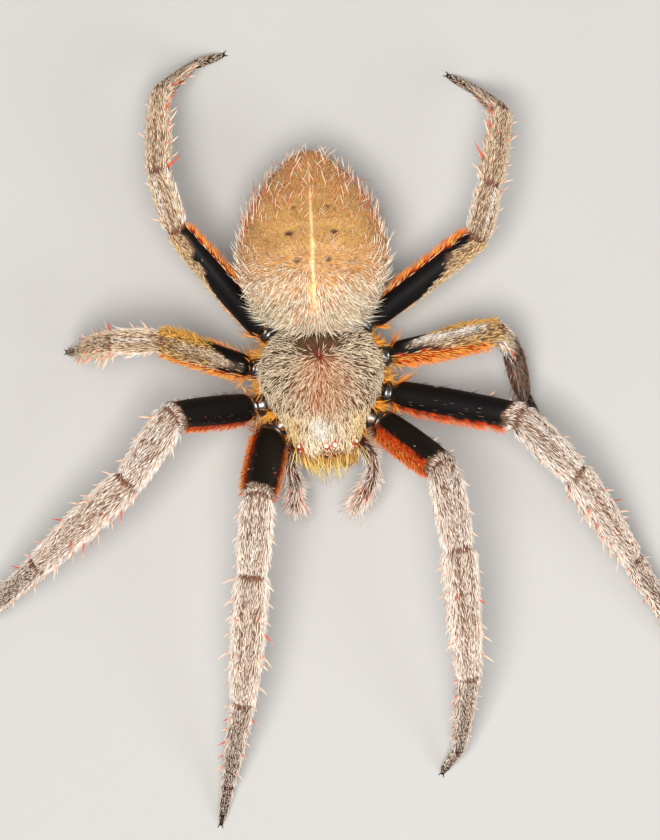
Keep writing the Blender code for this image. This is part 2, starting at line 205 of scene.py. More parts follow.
def eased(rows, times):
    """Evens out rows along a limb, with both end rows left alone."""
    rows = np.array(rows, dtype=float)
    for _ in range(times):
        rows[1:-1] = rows[:-2] / 4 + rows[1:-1] / 2 + rows[2:] / 4
    return rows


def stack_of_slices(node, start, end, ways, side, shares, columns):
    """Slices of one node between two points; the cutting direction turns from ways[0] to ways[1]."""
    corners, turns = corners_of(node), np.arange(columns) * 2 * np.pi / columns - np.pi / 2
    found = []
    for share in shares:
        centre = start + (end - start) * share
        along = unit(ways[0] * (1 - share) + ways[1] * share)
        found.append(slice_of(corners, centre, along, side, turns))
        if found[-1] is None:
            raise ValueError(f"no slice of {node} at {share:.3f}")
    middles, sides, ups, reaches = (np.array(x) for x in zip(*found))
    return middles, sides, ups, reaches, turns


def ring_grid(middles, sides, ups, reaches, turns):
    """Points of a skin: one row for each slice, one column for each turn."""
    across = sides[:, None] * np.cos(turns)[None, :, None]
    rise = ups[:, None] * np.sin(turns)[None, :, None]
    return middles[:, None] + (across + rise) * reaches[..., None]

# %% [markdown]
# ## From a grid of points to a skin
#
# A grid of points is the plainest way to make a long smooth body: rows run along it, columns run
# round it, and each end closes on a single point. The grid also unrolls into a flat map at once,
# which gives every hair's root its place in the texture that the finished model will carry.
# Values such as "how long is the hair here" are stored on the points, and both the skin and the
# coat read them, so that the two always carry the same markings.

# %% Skins
MAP_BORDER, MAP_SLACK = 0.3, 1.04        # millimetres left free at both ends, and room to spare
MAP_EDGE, POLE_STEP = 0.01, 0.004        # share of the map's width before the skin, and past its ends


def flows(grid):
    """Directions along the rows and round the columns at every point of a grid."""
    along = np.gradient(grid, axis=0)
    round_it = (np.roll(grid, -1, axis=1) - np.roll(grid, 1, axis=1)) / 2
    return unit(along), unit(round_it)


def outward(grid):
    """Directions straight out of a grid's surface."""
    along, round_it = flows(grid)
    normal = unit(np.cross(round_it, along))
    away = grid - grid.mean(axis=1, keepdims=True)
    return normal * np.sign((normal * away).sum(axis=(0, 1, 2)))


def unrolled(grid):
    """Place of each grid line on a flat map that keeps the body's own proportions."""
    steps = np.linalg.norm(np.diff(grid, axis=0), axis=-1).mean(axis=1)
    v = np.concatenate(([0], np.cumsum(steps))) + MAP_BORDER
    girth = np.linalg.norm(np.roll(grid, -1, axis=1) - grid, axis=-1).sum(axis=1).max()
    size = max(girth, v[-1] + MAP_BORDER) * MAP_SLACK
    u = np.linspace(MAP_EDGE, MAP_EDGE + girth / size, grid.shape[1] + 1)
    return u, v / size


def add_values(mesh, name, values):
    """Stores a number, a direction (3) or a colour (4) on every point of a mesh."""
    kind = {1: "FLOAT", 3: "FLOAT_VECTOR", 4: "FLOAT_COLOR"}
    values = np.asarray(values, dtype=np.float32).reshape(len(mesh.vertices), -1)
    width = values.shape[1]
    store = mesh.attributes.new(name, kind[width], "POINT")
    store.data.foreach_set({1: "value", 3: "vector", 4: "color"}[width], values.ravel())


def with_poles(values):
    """A grid's values as one list, with the mean of the first and last row for the two poles."""
    flat = values.reshape(values.shape[0] * values.shape[1], -1)
    first, last = (values[k].reshape(values.shape[1], -1).mean(axis=0) for k in (0, -1))
    return np.vstack((flat, first, last))


def each_point(value, shape):
    """A number, paint or direction for a whole grid, or one for each point, as one for each."""
    width = np.shape(value)[-1:] if np.ndim(value) in (1, 3) else ()
    return np.broadcast_to(value, (*shape, *width))


def mesh_object(name, points, faces, material=None):
    mesh = bpy.data.meshes.new(name)
    mesh.from_pydata((np.asarray(points) * MM).tolist(), [], faces)
    mesh.shade_smooth()
    if material:
        mesh.materials.append(material)
    thing = bpy.data.objects.new(name, mesh)
    bpy.context.collection.objects.link(thing)
    return thing


def closed_tube(grid):
    """Points, faces and flat-map corners of a grid with a pole at each end."""
    rows, columns = grid.shape[:2]
    u, v = unrolled(grid)
    index = np.arange(rows * columns).reshape(rows, columns)
    following = np.roll(index, -1, axis=1)
    faces, corners = [], []
    for r in range(rows - 1):
        for c in range(columns):
            faces.append((index[r, c], following[r, c], following[r + 1, c], index[r + 1, c]))
            corners.append(((u[c], v[r]), (u[c + 1], v[r]), (u[c + 1], v[r + 1]), (u[c], v[r + 1])))
    last = rows * columns
    for row, pole, step in ((0, last, -POLE_STEP), (rows - 1, last + 1, POLE_STEP)):
        for c in range(columns):
            ends = ((u[c], v[row] + step), (u[c + 1], v[row]), (u[c], v[row]))
            face = (pole, following[row, c], index[row, c])
            faces.append(face if row == 0 else (face[0], face[2], face[1]))
            corners.append(ends if row == 0 else (ends[0], ends[2], ends[1]))
    middle = grid[rows // 2]
    along, round_it = (flow[rows // 2] for flow in flows(grid))
    if (np.cross(round_it, along) * (middle - middle.mean(axis=0))).sum() < 0:
        faces, corners = [f[::-1] for f in faces], [c[::-1] for c in corners]
    return with_poles(grid), faces, corners


def skin_object(name, grid, values, material):
    """A closed mesh from one grid, with its values stored and its flat map laid out."""
    points, faces, corners = closed_tube(grid)
    thing = mesh_object(name, points, faces, material)
    layer = thing.data.uv_layers.new(name="unroll")
    layer.data.foreach_set("uv", np.array([p for c in corners for p in c], dtype=np.float32).ravel())
    for key, value in values.items():
        add_values(thing.data, key, with_poles(each_point(value, grid.shape[:2])))
    return thing


def joined_tubes(name, grids, material):
    """Several closed tubes as one mesh."""
    points, faces = [], []
    for grid in grids:
        more, rows, _ = closed_tube(grid)
        faces += [tuple(len(points) + k for k in row) for row in rows]
        points += more.tolist()
    return mesh_object(name, points, faces, material)

# %% [markdown]
# ## The growing tree
#
# On the animal the coat is thousands of flat bristles that lie back towards the end of each limb
# like roof tiles. Blender's hair curves would draw them, but they are lost when the model leaves
# Blender, so each bristle here is a real sliver of mesh. One geometry tree scatters the roots,
# leans every bristle the way that the skin's values say, and turns the lot into plain mesh.
# The same tree without its scatter plants the large spines at places worked out one by one.

# %% Shapes of single bristles
def bristle(name, rings, bend, sides, flat=1.0):
    """A slim pointed solid, one unit long along Z and one unit wide, bending towards -Y."""
    turns = np.arange(sides) * 2 * np.pi / sides + np.pi / 2
    points, faces = [], []
    for height, width in rings:
        for turn in turns:
            x, y = width * math.cos(turn) / 2, width * flat * math.sin(turn) / 2
            points.append((x, y - bend * height**2, height))
    points.append((0, -bend, 1))
    for r in range(len(rings) - 1):
        for c in range(sides):
            a, b, n = r * sides, (r + 1) * sides, (c + 1) % sides
            faces.append((a + c, a + n, b + n, b + c))
    top = len(points) - 1
    faces += [(top - sides + c, top - sides + (c + 1) % sides, top) for c in range(sides)]
    faces.append(tuple(range(sides))[::-1])
    thing = mesh_object(name, np.array(points) / MM, faces)
    add_values(thing.data, "spot", [(x, z, 0) for x, y, z in points])
    return thing


FLAT_SETA = bristle("seta_shape", ((0.0, 0.75), (0.35, 1.0), (0.75, 0.62)), bend=1.3, sides=3, flat=0.6)
DOWN_HAIR = bristle("down_shape", ((0.0, 1.0), (0.55, 0.75)), bend=2.0, sides=3)
LONG_HAIR = bristle("hair_shape", ((0.0, 1.0), (0.3, 0.9), (0.65, 0.6)), bend=4.0, sides=3)
SPINE = bristle("spine_shape", ((0.0, 1.0), (0.25, 0.95), (0.6, 0.62), (0.88, 0.26)), bend=0.7, sides=6)
ROOT_PATCH = 0.003       # width of a bristle's own spot on the flat map

# %% [markdown]
# The tree leans each bristle in two turns. The first points its length along the lie of the coat,
# lifted off the skin by the stored angle. The second rolls it about its length until its flat back
# faces away from the skin, or nearly so where the coat is curly. Where a skin stores an "upturn",
# its bristles also bend towards the sky, as the fringes under the thighs do. Poisson scatter keeps
# the roots a little apart, as real sockets are.

# %% Geometry trees
def stored(wire, name, kind="FLOAT"):
    """A value that the skin, or a root on it, carries."""
    return wire.node("GeometryNodeInputNamedAttribute", {"data_type": kind}, {"Name": name})


def luck_of(wire, seed, low, high):
    settings = {"data_type": "FLOAT"}
    return wire.node("FunctionNodeRandomValue", settings, {2: low, 3: high, "Seed": seed}, 1)


def keep_value(geometry, name, value, kind="FLOAT", domain="POINT"):
    settings = {"data_type": kind, "domain": domain}
    values = {"Geometry": geometry, "Name": name, "Value": value}
    return geometry.node("GeometryNodeStoreNamedAttribute", settings, values)


def scattered(start):
    """Roots spread over a skin, as many to a square millimetre as its density says."""
    most = start.also("Most per mm2")
    values = {
        "Mesh": start,
        "Distance Min": 0.5 * MM / start.maths("SQRT", most),
        "Density Max": most / MM**2,
        "Density Factor": stored(start, "density") / most,
        "Seed": start.also("Seed"),
    }
    return start.node("GeometryNodeDistributePointsOnFaces", {"distribute_method": "POISSON"}, values)


def leaning(start, facing):
    """Turns a bristle's length along the coat's lie, and its back away from the skin."""
    lie, lift = stored(start, "lie", "FLOAT_VECTOR"), stored(start, "lift")
    into = start.vector("DOT_PRODUCT", lie, facing, output=1)
    outward_part = start.vector("SCALE", facing, None, None, into)
    flat = start.vector("NORMALIZE", start.vector("SUBTRACT", lie, outward_part))
    laid = start.vector("SCALE", flat, None, None, start.maths("COSINE", lift))
    raised = start.vector("SCALE", facing, None, None, start.maths("SINE", lift))
    values = {0: (-1, -1, -1), 1: (1, 1, 1), "Seed": start.also("Seed")}
    stray = start.node("FunctionNodeRandomValue", {"data_type": "FLOAT_VECTOR"}, values)
    stray = start.vector("SCALE", stray, None, None, start.also("Unruly"))
    way = start.vector("ADD", start.vector("ADD", laid, raised), stray)
    turned = start.node("FunctionNodeAlignRotationToVector", {"axis": "Z"}, {"Vector": way})
    values["Seed"] = start.also("Seed") + 3
    curl = start.node("FunctionNodeRandomValue", {"data_type": "FLOAT_VECTOR"}, values)
    back = start.vector("ADD", facing, start.vector("SCALE", curl, None, None, start.also("Curl")))
    settings = {"axis": "Y", "pivot_axis": "Z"}
    return start.node("FunctionNodeAlignRotationToVector", settings, {"Rotation": turned, "Vector": back})


def growing_tree(name, scatter):
    tree = bpy.data.node_groups.new(name, "GeometryNodeTree")
    face = tree.interface
    face.new_socket("Geometry", in_out="OUTPUT", socket_type="NodeSocketGeometry")
    inputs = {"Geometry": "Geometry", "Shape": "Object", "Finish": "Material", "Seed": "Int",
              "Unruly": "Float", "Curl": "Float", "Most per mm2": "Float"}
    for label, kind in inputs.items():
        face.new_socket(label, in_out="INPUT", socket_type="NodeSocket" + kind)
    start = Wire(tree).node("NodeGroupInput")
    points = scattered(start) if scatter else start
    facing = points.also("Normal") if scatter else stored(start, "facing", "FLOAT_VECTOR")
    sky = start.vector("SCALE", (0.0, 0.0, 1.0), None, None, stored(start, "upturn"))
    facing = start.vector("NORMALIZE", start.vector("ADD", facing, sky))
    seed = start.also("Seed")
    points = keep_value(points, "luck", luck_of(start, seed, 0.0, 1.0))
    reach = stored(start, "length") * luck_of(start, seed + 7, 0.62, 1.2) * MM
    wide = stored(start, "thick") * MM
    size = start.node("ShaderNodeCombineXYZ", values={0: wide, 1: wide, 2: reach})
    shape = start.node("GeometryNodeObjectInfo", values={"Object": start.also("Shape")}, output=4)
    values = {"Points": points, "Instance": shape, "Rotation": leaning(start, facing), "Scale": size}
    planted = start.node("GeometryNodeInstanceOnPoints", values=values)
    real = start.node("GeometryNodeRealizeInstances", values={"Geometry": planted})
    spot = start.vector("SCALE", stored(start, "spot", "FLOAT_VECTOR"), None, None, ROOT_PATCH)
    patch = start.vector("ADD", stored(start, "unroll", "FLOAT_VECTOR"), spot)
    mapped = keep_value(real, "OFBake", patch, "FLOAT2", "CORNER")
    values = {"Geometry": mapped, "Material": start.also("Finish")}
    done = start.node("GeometryNodeSetMaterial", values=values)
    start.node("NodeGroupOutput", values={0: done})
    return tree


SCATTER_TREE = growing_tree("scatter_and_grow", True)
PLANT_TREE = growing_tree("plant_and_grow", False)
KEPT_ON_HAIR = ("position", "OFBake", "root_colour", "tip_colour", "spot", "luck")
FLOOR_CLEARANCE = 0.03


def grown(name, host, tree, choices):
    """Runs a growing tree on a host and returns the result as a plain mesh object."""
    modifier = host.modifiers.new("grow", "NODES")
    modifier.node_group = tree
    for item in tree.interface.items_tree:
        if item.in_out == "INPUT" and item.name in choices:
            modifier[item.identifier] = choices[item.name]
    bpy.context.view_layer.update()
    graph = bpy.context.evaluated_depsgraph_get()
    mesh = bpy.data.meshes.new_from_object(host.evaluated_get(graph))
    host.modifiers.remove(modifier)
    mesh.name = name
    mesh.materials.clear()
    mesh.materials.append(choices["Finish"])
    mesh.polygons.foreach_set("material_index", np.zeros(len(mesh.polygons), dtype=np.int32))
    for spare in [a.name for a in mesh.attributes if not a.is_internal and not a.is_required]:
        if spare not in KEPT_ON_HAIR:
            mesh.attributes.remove(mesh.attributes[spare])
    places = np.empty(len(mesh.vertices) * 3, dtype=np.float32)
    mesh.vertices.foreach_get("co", places)
    places[2::3] = np.maximum(places[2::3], FLOOR_CLEARANCE * MM)
    mesh.vertices.foreach_set("co", places)
    mesh.shade_smooth()
    piece = bpy.data.objects.new(name, mesh)
    bpy.context.collection.objects.link(piece)
    print(f"{name}: {sum(len(p.vertices) - 2 for p in mesh.polygons)} triangles")
    return piece


def coat(name, skin, shape, seed, unruly, curl=0.0):
    """Grows a coat over a skin, where its stored density is above nothing.

    Unruly is how far the hairs stray from the lie, and curl how far their backs roll aside.
    """
    density = np.empty(len(skin.data.vertices), dtype=np.float32)
    skin.data.attributes["density"].data.foreach_get("value", density)
    choices = {"Shape": shape, "Finish": SETA_FINISH, "Seed": seed, "Unruly": unruly, "Curl": curl,
               "Most per mm2": float(density.max())}
    piece = grown(name, skin, SCATTER_TREE, choices)
    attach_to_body(piece, SPIDER_BODY)
    return piece


def planted_hairs(name, roots, shape, seed, unruly, curl=0.0):
    """Sets a bristle on every root; roots holds one value for each root, or one for them all."""
    host = mesh_object(name + "_roots", roots["place"], [])
    for key in ("facing", "lie", "lift", "length", "thick", "root_colour", "tip_colour", "unroll"):
        value = np.asarray(roots[key], dtype=float)
        if value.ndim == 0 or value.shape == (4,):
            value = np.broadcast_to(value, (len(roots["place"]), *value.shape))
        add_values(host.data, key, value)
    choices = {"Shape": shape, "Finish": SETA_FINISH, "Seed": seed, "Unruly": unruly, "Curl": curl}
    piece = grown(name, host, PLANT_TREE, choices)
    bpy.data.objects.remove(host)
    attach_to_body(piece, SPIDER_BODY)
    return piece

# %% [markdown]
# ## Colour of a bristle
#
# A seta is darkest at its socket and palest at its tip, and no two are quite alike. The skin says
# what the two ends look like at each place. The material runs between them along each bristle.
# A bristle's own luck makes it a little lighter or darker: one in ten is dark, and one in five
# keeps the colour of its socket for most of its length.

# %% Colours and the seta finish
DARK_LUCK, LATE_LUCK = 0.9, 0.22         # luck above the first is dark, below the second turns late


def colour(red, green, blue):
    """A paint, 0 to 255, as the linear numbers that Blender adds light with."""
    shade = np.array((red, green, blue)) / 255
    linear = np.where(shade <= 0.04045, shade / 12.92, ((shade + 0.055) / 1.055) ** 2.4)
    return np.append(linear, 1.0)


def mixed(first, second, mask):
    """Moves from one colour to another by a mask."""
    return first + (second - first) * np.asarray(mask)[..., None]


def ramp(values, low, high):
    """0 below low, 1 above high, smooth between."""
    t = np.clip((values - low) / (high - low), 0, 1)
    return t * t * (3 - 2 * t)


def bump_at(values, middle, width):
    """A soft hill, 1 at its middle."""
    return np.exp(-(((values - middle) / width) ** 2))


def new_material(name, rough, **uniform):
    """A material, the wire to build with, and its Principled shader."""
    material = bpy.data.materials.new(name)
    material.use_nodes = True
    shader = material.node_tree.nodes["Principled BSDF"]
    shader.inputs["Roughness"].default_value = rough
    for key, value in uniform.items():
        shader.inputs[key.replace("_", " ")].default_value = value
    return material, Wire(material.node_tree), shader


def attach(wire, shader, socket):
    wire.tree.links.new(wire.socket, shader.inputs[socket])


def carried(wire, name, output=0):
    """A value stored on the mesh: output 0 is a colour, 2 a plain number."""
    return wire.node("ShaderNodeAttribute", {"attribute_name": name}, output=output)


def seta_finish():
    material, wire, shader = new_material("seta", rough=0.45, Specular_IOR_Level=0.4)
    height = wire.node("ShaderNodeSeparateXYZ", values={0: carried(wire, "spot", 1)}, output=1)
    luck = carried(wire, "luck", 2)
    late = wire.maths("MAXIMUM", LATE_LUCK - luck, 0.0) * 4.5
    pale = (height - late).between(0.0, 0.5).mix(carried(wire, "root_colour"), carried(wire, "tip_colour"))
    dim = 1.0 - luck.between(DARK_LUCK, DARK_LUCK + 0.02) * 0.45
    share = dim * (luck * 0.36 + 0.84)
    grey = wire.node("ShaderNodeCombineXYZ", values={0: share, 1: share, 2: share})
    attach(wire.vector("MULTIPLY", pale, grey), shader, "Base Color")
    return material


SETA_FINISH = seta_finish()

# %% [markdown]
# ## Chitin
#
# Under the coat is chitin, a hard and faintly oily shell. On the femora it is bare, black and as
# glossy as lacquer. Where setae stand it is brown and dull, because thousands of sockets and fine
# ridges break the shine. One material serves every skin: the skin's stored colour and gloss steer
# it, and fine noise in the roughness and the bump gives the shell its grain.

# %% Shell finish
def shell_finish(name, grain, depth, shine=0.5, spread=0.08, polish=1.5):
    """Chitin with a grain and a bump in millimetres; spread and polish are its lacquer's."""
    uniform = {"Specular_IOR_Level": shine, "Coat_Roughness": spread, "Coat_IOR": polish}
    material, wire, shader = new_material(name, rough=0.3, **uniform)
    place = wire.node("ShaderNodeTexCoord", output=3)
    scale = 1 / (grain * MM)
    fine = wire.node("ShaderNodeTexNoise", None, {"Vector": place, "Scale": scale, "Detail": 3.0})
    broad = wire.node("ShaderNodeTexNoise", None, {"Vector": place, "Scale": 0.12 * scale, "Detail": 4.0})
    pits = wire.node("ShaderNodeTexVoronoi", None, {"Vector": place, "Scale": 0.6 * scale})
    shade = (fine - 0.5) * 0.5 + (broad - 0.5) * 0.7 + 1.0
    grey = wire.node("ShaderNodeCombineXYZ", values={0: shade, 1: shade, 2: shade})
    attach(wire.vector("MULTIPLY", carried(wire, "ground"), grey), shader, "Base Color")
    dull = 1.0 - carried(wire, "gloss", 2)
    attach(dull * 0.55 + fine * 0.18 + 0.06, shader, "Roughness")
    attach(carried(wire, "gloss", 2) * 0.9, shader, "Coat Weight")
    height = fine * 0.6 + pits * 0.5 * dull
    values = {"Height": height, "Strength": 0.5, "Distance": depth * MM}
    attach(wire.node("ShaderNodeBump", None, values), shader, "Normal")
    return material


LEG_SHELL = shell_finish("leg_shell", grain=0.06, depth=0.012, shine=0.16, spread=0.33, polish=2.1)
HIDE = shell_finish("abdomen_hide", grain=0.15, depth=0.06, shine=0.35)
SHIELD = shell_finish("carapace_shell", grain=0.07, depth=0.03, shine=0.2, spread=0.26)
JAW_SHELL = shell_finish("jaw_shell", grain=0.08, depth=0.015)

# %% [markdown]
# ## Legs
#
# A spider's leg is a chain of seven hollow segments: coxa, trochanter, femur, patella, tibia,
# metatarsus and tarsus. It folds in one plane, so one hinge direction serves the whole leg, and the
# back of the leg is always on the outside of its bends. The joints are found where two solids
# nearly touch. The skin then runs as a single tube over all of them, pinched at each joint.

# %% Joints of a leg
SEGMENTS = ("coxa", "femur", "patella", "tibia", "foot")
COXA, FEMUR, PATELLA, TIBIA, METATARSUS, TARSUS = range(6)
TARSUS_START = {1: 0.734, 2: 0.729, 3: 0.677, 4: 0.716}      # share of the foot's length
CUT_TRIANGLES = 6        # a cut end is the only flat face with this many triangles
TOE_HEIGHT = 0.2
SOLES = {m["name"]: np.array(m["pos_m"]) / MM for m in frame["record"]["mounts"]}


def points_of(node):
    return np.unique(corners_of(node).reshape(-1, 3).round(4), axis=0)


def cut_face(node, neighbour):
    """Middle and outward direction of the flat end of a node that looks at its neighbour."""
    corners = corners_of(node)
    normals = unit(np.cross(corners[:, 1] - corners[:, 0], corners[:, 2] - corners[:, 0]))
    offsets = (normals * corners[:, 0]).sum(axis=1)
    same = (normals @ normals.T > 0.9999) & (abs(offsets[:, None] - offsets) < 0.005)
    flat = np.flatnonzero(same.sum(axis=1) >= CUT_TRIANGLES)
    places = corners[flat].mean(axis=1)
    gaps = np.linalg.norm(places[:, None] - points_of(neighbour)[None], axis=-1).min(axis=1)
    best = flat[gaps.argmin()]
    rim = np.unique(corners[same[best]].reshape(-1, 3).round(4), axis=0)
    return rim.mean(axis=0), normals[best]


def joint_between(before, after):
    """Middle of the cut between two neighbouring nodes, and the way that it faces."""
    (middle, way), (other, back) = cut_face(before, after), cut_face(after, before)
    return (middle + other) / 2, unit(way - back)


def far_end(node, joint):
    """Middle of the end of a node that is farthest from a joint."""
    points = points_of(node)
    reach = (points - joint) @ unit(points.mean(axis=0) - joint)
    return points[reach > reach.max() - 0.1].mean(axis=0)


def leg_chain(leg, side):
    """Node names, joints from root to toe, the way each cut faces, and the hinge."""
    names = [f"leg_{leg}_{side}_{part}" for part in SEGMENTS]
    cuts = [joint_between(a, b) for a, b in zip(names, names[1:])]
    toe = SOLES[f"leg_{leg}_{side}_sole"] + (0, 0, TOE_HEIGHT)
    joints = np.array([far_end(names[0], cuts[0][0]), *(middle for middle, _ in cuts), toe])
    ways = unit(np.diff(joints, axis=0))
    facing = np.array([ways[0], *(way for _, way in cuts), ways[-1]])
    hinge = np.linalg.svd(joints[1:] - joints[1:].mean(axis=0))[2][-1]
    bends = sum(a - b for a, b in zip(ways[1:], ways[2:]))
    return names, joints, facing, hinge * np.sign(np.cross(ways[2], hinge) @ bends)


for leg in LEGS:
    lengths = np.linalg.norm(np.diff(leg_chain(leg, "left")[1], axis=0), axis=1)
    print(f"left leg {leg}, segment lengths in mm:", lengths.round(1).tolist())

# %% [markdown]
# The slices of one segment start square to its first joint and end square to its last, so the rows
# of the skin fan smoothly round each bend. Each row remembers which segment it is on and how far it
# is from the joints on both sides, because the colours and the coat are laid out by that. Near the
# hip the rows are closer, because the trochanter there is turned like a bannister: narrow necks and
# glossy rings that catch the light. On the front legs the thigh wears such a ring as well.

# %% The skin of a leg
ROW_STEP, HIP_ROW_STEP, HIP_REACH = 0.2, 0.07, 1.4
RING_ENDS = {(1, "left"): 0.7, (1, "right"): 0.7, (2, "right"): 0.55}     # where the femur's ring ends
CUT_MARGIN = 0.06
LEG_COLUMNS = 28
COAT_DEPTH = np.array((0.03, 0.05, 0.15, 0.15, 0.10, 0.05))
CREASE_WIDTH, CREASE_DEPTH = 0.24, 0.12
NECKS = (                # segment, which end it is measured from, how far, half width, depth
    (COXA, "after", 0.8, 0.15, 0.22),
    (COXA, "after", 0.0, 0.2, 0.12),
    (FEMUR, "before", 0.0, 0.3, 0.10),
)
COLLAR = ((1.0, 0.14, 0.3), (0.0, 0.22, 0.16))     # share of the ring's end, half width, depth


def leg_rows(leg, side):
    """Slices along the whole leg, with the segment and the joint distances of every row."""
    names, joints, facing, hinge = leg_chain(leg, side)
    stacks, kinds, shares, before, after = [], [], [], [], []
    for k, name in enumerate(names):
        length = np.linalg.norm(joints[k + 1] - joints[k])
        last = 1 + 0.2 / length if k == len(names) - 1 else 1 - CUT_MARGIN / length
        step = ROW_STEP if k else HIP_ROW_STEP
        share = np.linspace(CUT_MARGIN / length, last, max(5, round(length / step)))
        if k == 1:
            hip = np.arange(CUT_MARGIN, HIP_REACH, HIP_ROW_STEP) / length
            share = np.concatenate((hip, share[share > hip[-1] + 0.5 * step / length]))
        ends = (joints[k], joints[k + 1], facing[k:k + 2])
        stacks.append(stack_of_slices(name, *ends, hinge, share, LEG_COLUMNS)[:4])
        kind = np.full(len(share), k)
        if name.endswith("foot"):
            cut = TARSUS_START[leg]
            kind[share > cut] = TARSUS
            start = np.where(share > cut, cut, 0.0)
            end = np.where(share > cut, 1.0, cut)
        else:
            start, end = np.zeros(len(share)), np.ones(len(share))
        kinds.append(kind)
        shares.append((share - start) / (end - start))
        before.append((share - start) * length)
        after.append((end - share) * length)
    parts = [np.concatenate([s[i] for s in stacks]) for i in range(4)]
    return names, parts, *(np.concatenate(x) for x in (kinds, shares, before, after))


def leg_grid(parts, kinds, before, after, ring_end):
    """Points of a leg's skin, inside its solids by the depth of the coat."""
    middles, sides, ups, reaches = parts
    depth = eased(COAT_DEPTH[kinds], 4)
    reaches = np.maximum(eased(rounded(reaches, 2), 3) - depth[:, None], 0.1)
    turns = np.arange(LEG_COLUMNS) * 2 * np.pi / LEG_COLUMNS - np.pi / 2
    grid = ring_grid(eased(middles, 3), unit(eased(sides, 5)), unit(eased(ups, 5)), reaches, turns)
    grid = eased(grid, 4)
    pinch = bump_at(np.minimum(before, after), 0, CREASE_WIDTH) * CREASE_DEPTH
    for kind, end, place, width, deep in NECKS:
        away = after if end == "after" else before
        pinch = pinch + (kinds == kind) * deep * bump_at(away, place, width)
    collar = sum(deep * bump_at(before, share * ring_end, width) for share, width, deep in COLLAR)
    pinch = pinch + (kinds == FEMUR) * (ring_end > 0) * collar
    pinch = np.where(kinds == TARSUS, pinch * (before < 1) * 0.5, pinch)
    core = grid.mean(axis=1, keepdims=True)
    return core + (grid - core) * (1 - pinch)[:, None, None], turns

# %% [markdown]
# ## Markings of a leg
#
# The femur is bare black lacquer on top and fringed with orange hairs along its edges. How far the
# orange climbs differs from leg to leg, because each leg is rolled a little about its own length.
# From the knee outwards the leg wears a close coat of flat cream setae over dark shell, with thin
# dark grooves, a pale ridge on the patella and reddish joints. Masks, numbers from 0 to 1, say
# where each of these is. They are plain sums on the segment, the distance to a joint and the turn
# round the leg.
#
# The back legs have more to tell. A cream strip runs along each of their femora and yellows to
# olive. On the third pair a painted silver sheen runs down its middle, strongest on the left leg,
# and gilt hairs edge it behind.
# The outer half of the left third leg is darker than the rest: a painted shadow on its shell, its coat,
# its spines and its long setae. Towards the toes every leg turns from cream to a brown dusk.
# Round each joint the hair is short and sparse.

# %% Masks of a leg
FRINGE = {               # how high the orange climbs on the front and the back face, -1 to 1
    (1, "left"): (0.46, -0.5), (1, "right"): (0.22, 0.40),
    (2, "left"): (-0.22, -0.5), (2, "right"): (-0.18, -0.5),
    (3, "left"): (0.42, 0.15), (3, "right"): (0.36, 0.15),
    (4, "left"): (0.20, -0.12), (4, "right"): (0.20, -0.12),
}
WANDER = np.random.default_rng(5).normal(size=(6, 3))


def wander(points, size):
    """A slow wavy noise over points, from about -1 to 1."""
    return sum(np.sin(points @ way * 2 / size + k) for k, way in enumerate(WANDER)) / 3


def pale_strip(leg, wavy, up, front):
    """The cream strip on the femora of the back legs: on top of leg 3, along the front of leg 4."""
    if leg == 3:
        edge, back = 0.8 + 0.6 * ramp(wavy, 0.3, 0.6), 0.0 - 1.4 * ramp(wavy, 0.22, 0.65)
        strip = ramp(wavy, 0.1, 0.24) * ramp(edge - front, 0, 0.25) * ramp(front - back, 0, 0.25)
        return strip * ramp(up, 0.0, 0.3)
    edge = 0.78 - 1.0 * ramp(wavy, 0.3, 0.72) - 1.4 * ramp(wavy, 0.7, 0.88)
    strip = ramp(wavy, 0.25, 0.40) * ramp(front, edge - 0.08, edge + 0.08) * ramp(up, -0.3, 0.0)
    return (leg == 4) * strip * ramp(front, -0.85, -0.6)


def femur_fringe(leg, side, wavy, ragged, up, front):
    """Two shares of a femur's orange: below the height in FRINGE, and not worn off the front."""
    limit = np.where(front > 0, *FRINGE[leg, side])
    worn = (leg == 4) * ramp(wavy, 0.3, 0.45) * ramp(front, 0.0, 0.3) * ramp(up, -0.5, -0.2)
    return 1 - ramp(up + ragged, limit - 0.1, limit + 0.05), 1 - worn


def hip_gold(leg, side, kinds, before, after, up):
    """Golden hair of the hip, the tight arc of it beyond the femur's ring, and the glossy parts."""
    femur, ring_end = (kinds == FEMUR) * 1.0, RING_ENDS.get((leg, side), 0.0)
    arc = femur * (ring_end > 0) * bump_at(before, ring_end + 0.02, 0.09)
    amber = (kinds == COXA) * ramp(after, 1.4, 1.8) * (1 - ramp(up, 0.45, 0.8))
    amber = amber * (0.4 + 0.6 * ramp(up, -0.7, -0.1))
    base = femur * (ring_end == 0) * bump_at(before, 0.05, 0.13) * (1 - ramp(up, 0.3, 0.7))
    ring = (kinds == COXA) + femur * ramp(ring_end + 0.6 - before, 0, 0.4)
    return np.clip(amber + 0.6 * arc + base, 0, 1), arc, ring


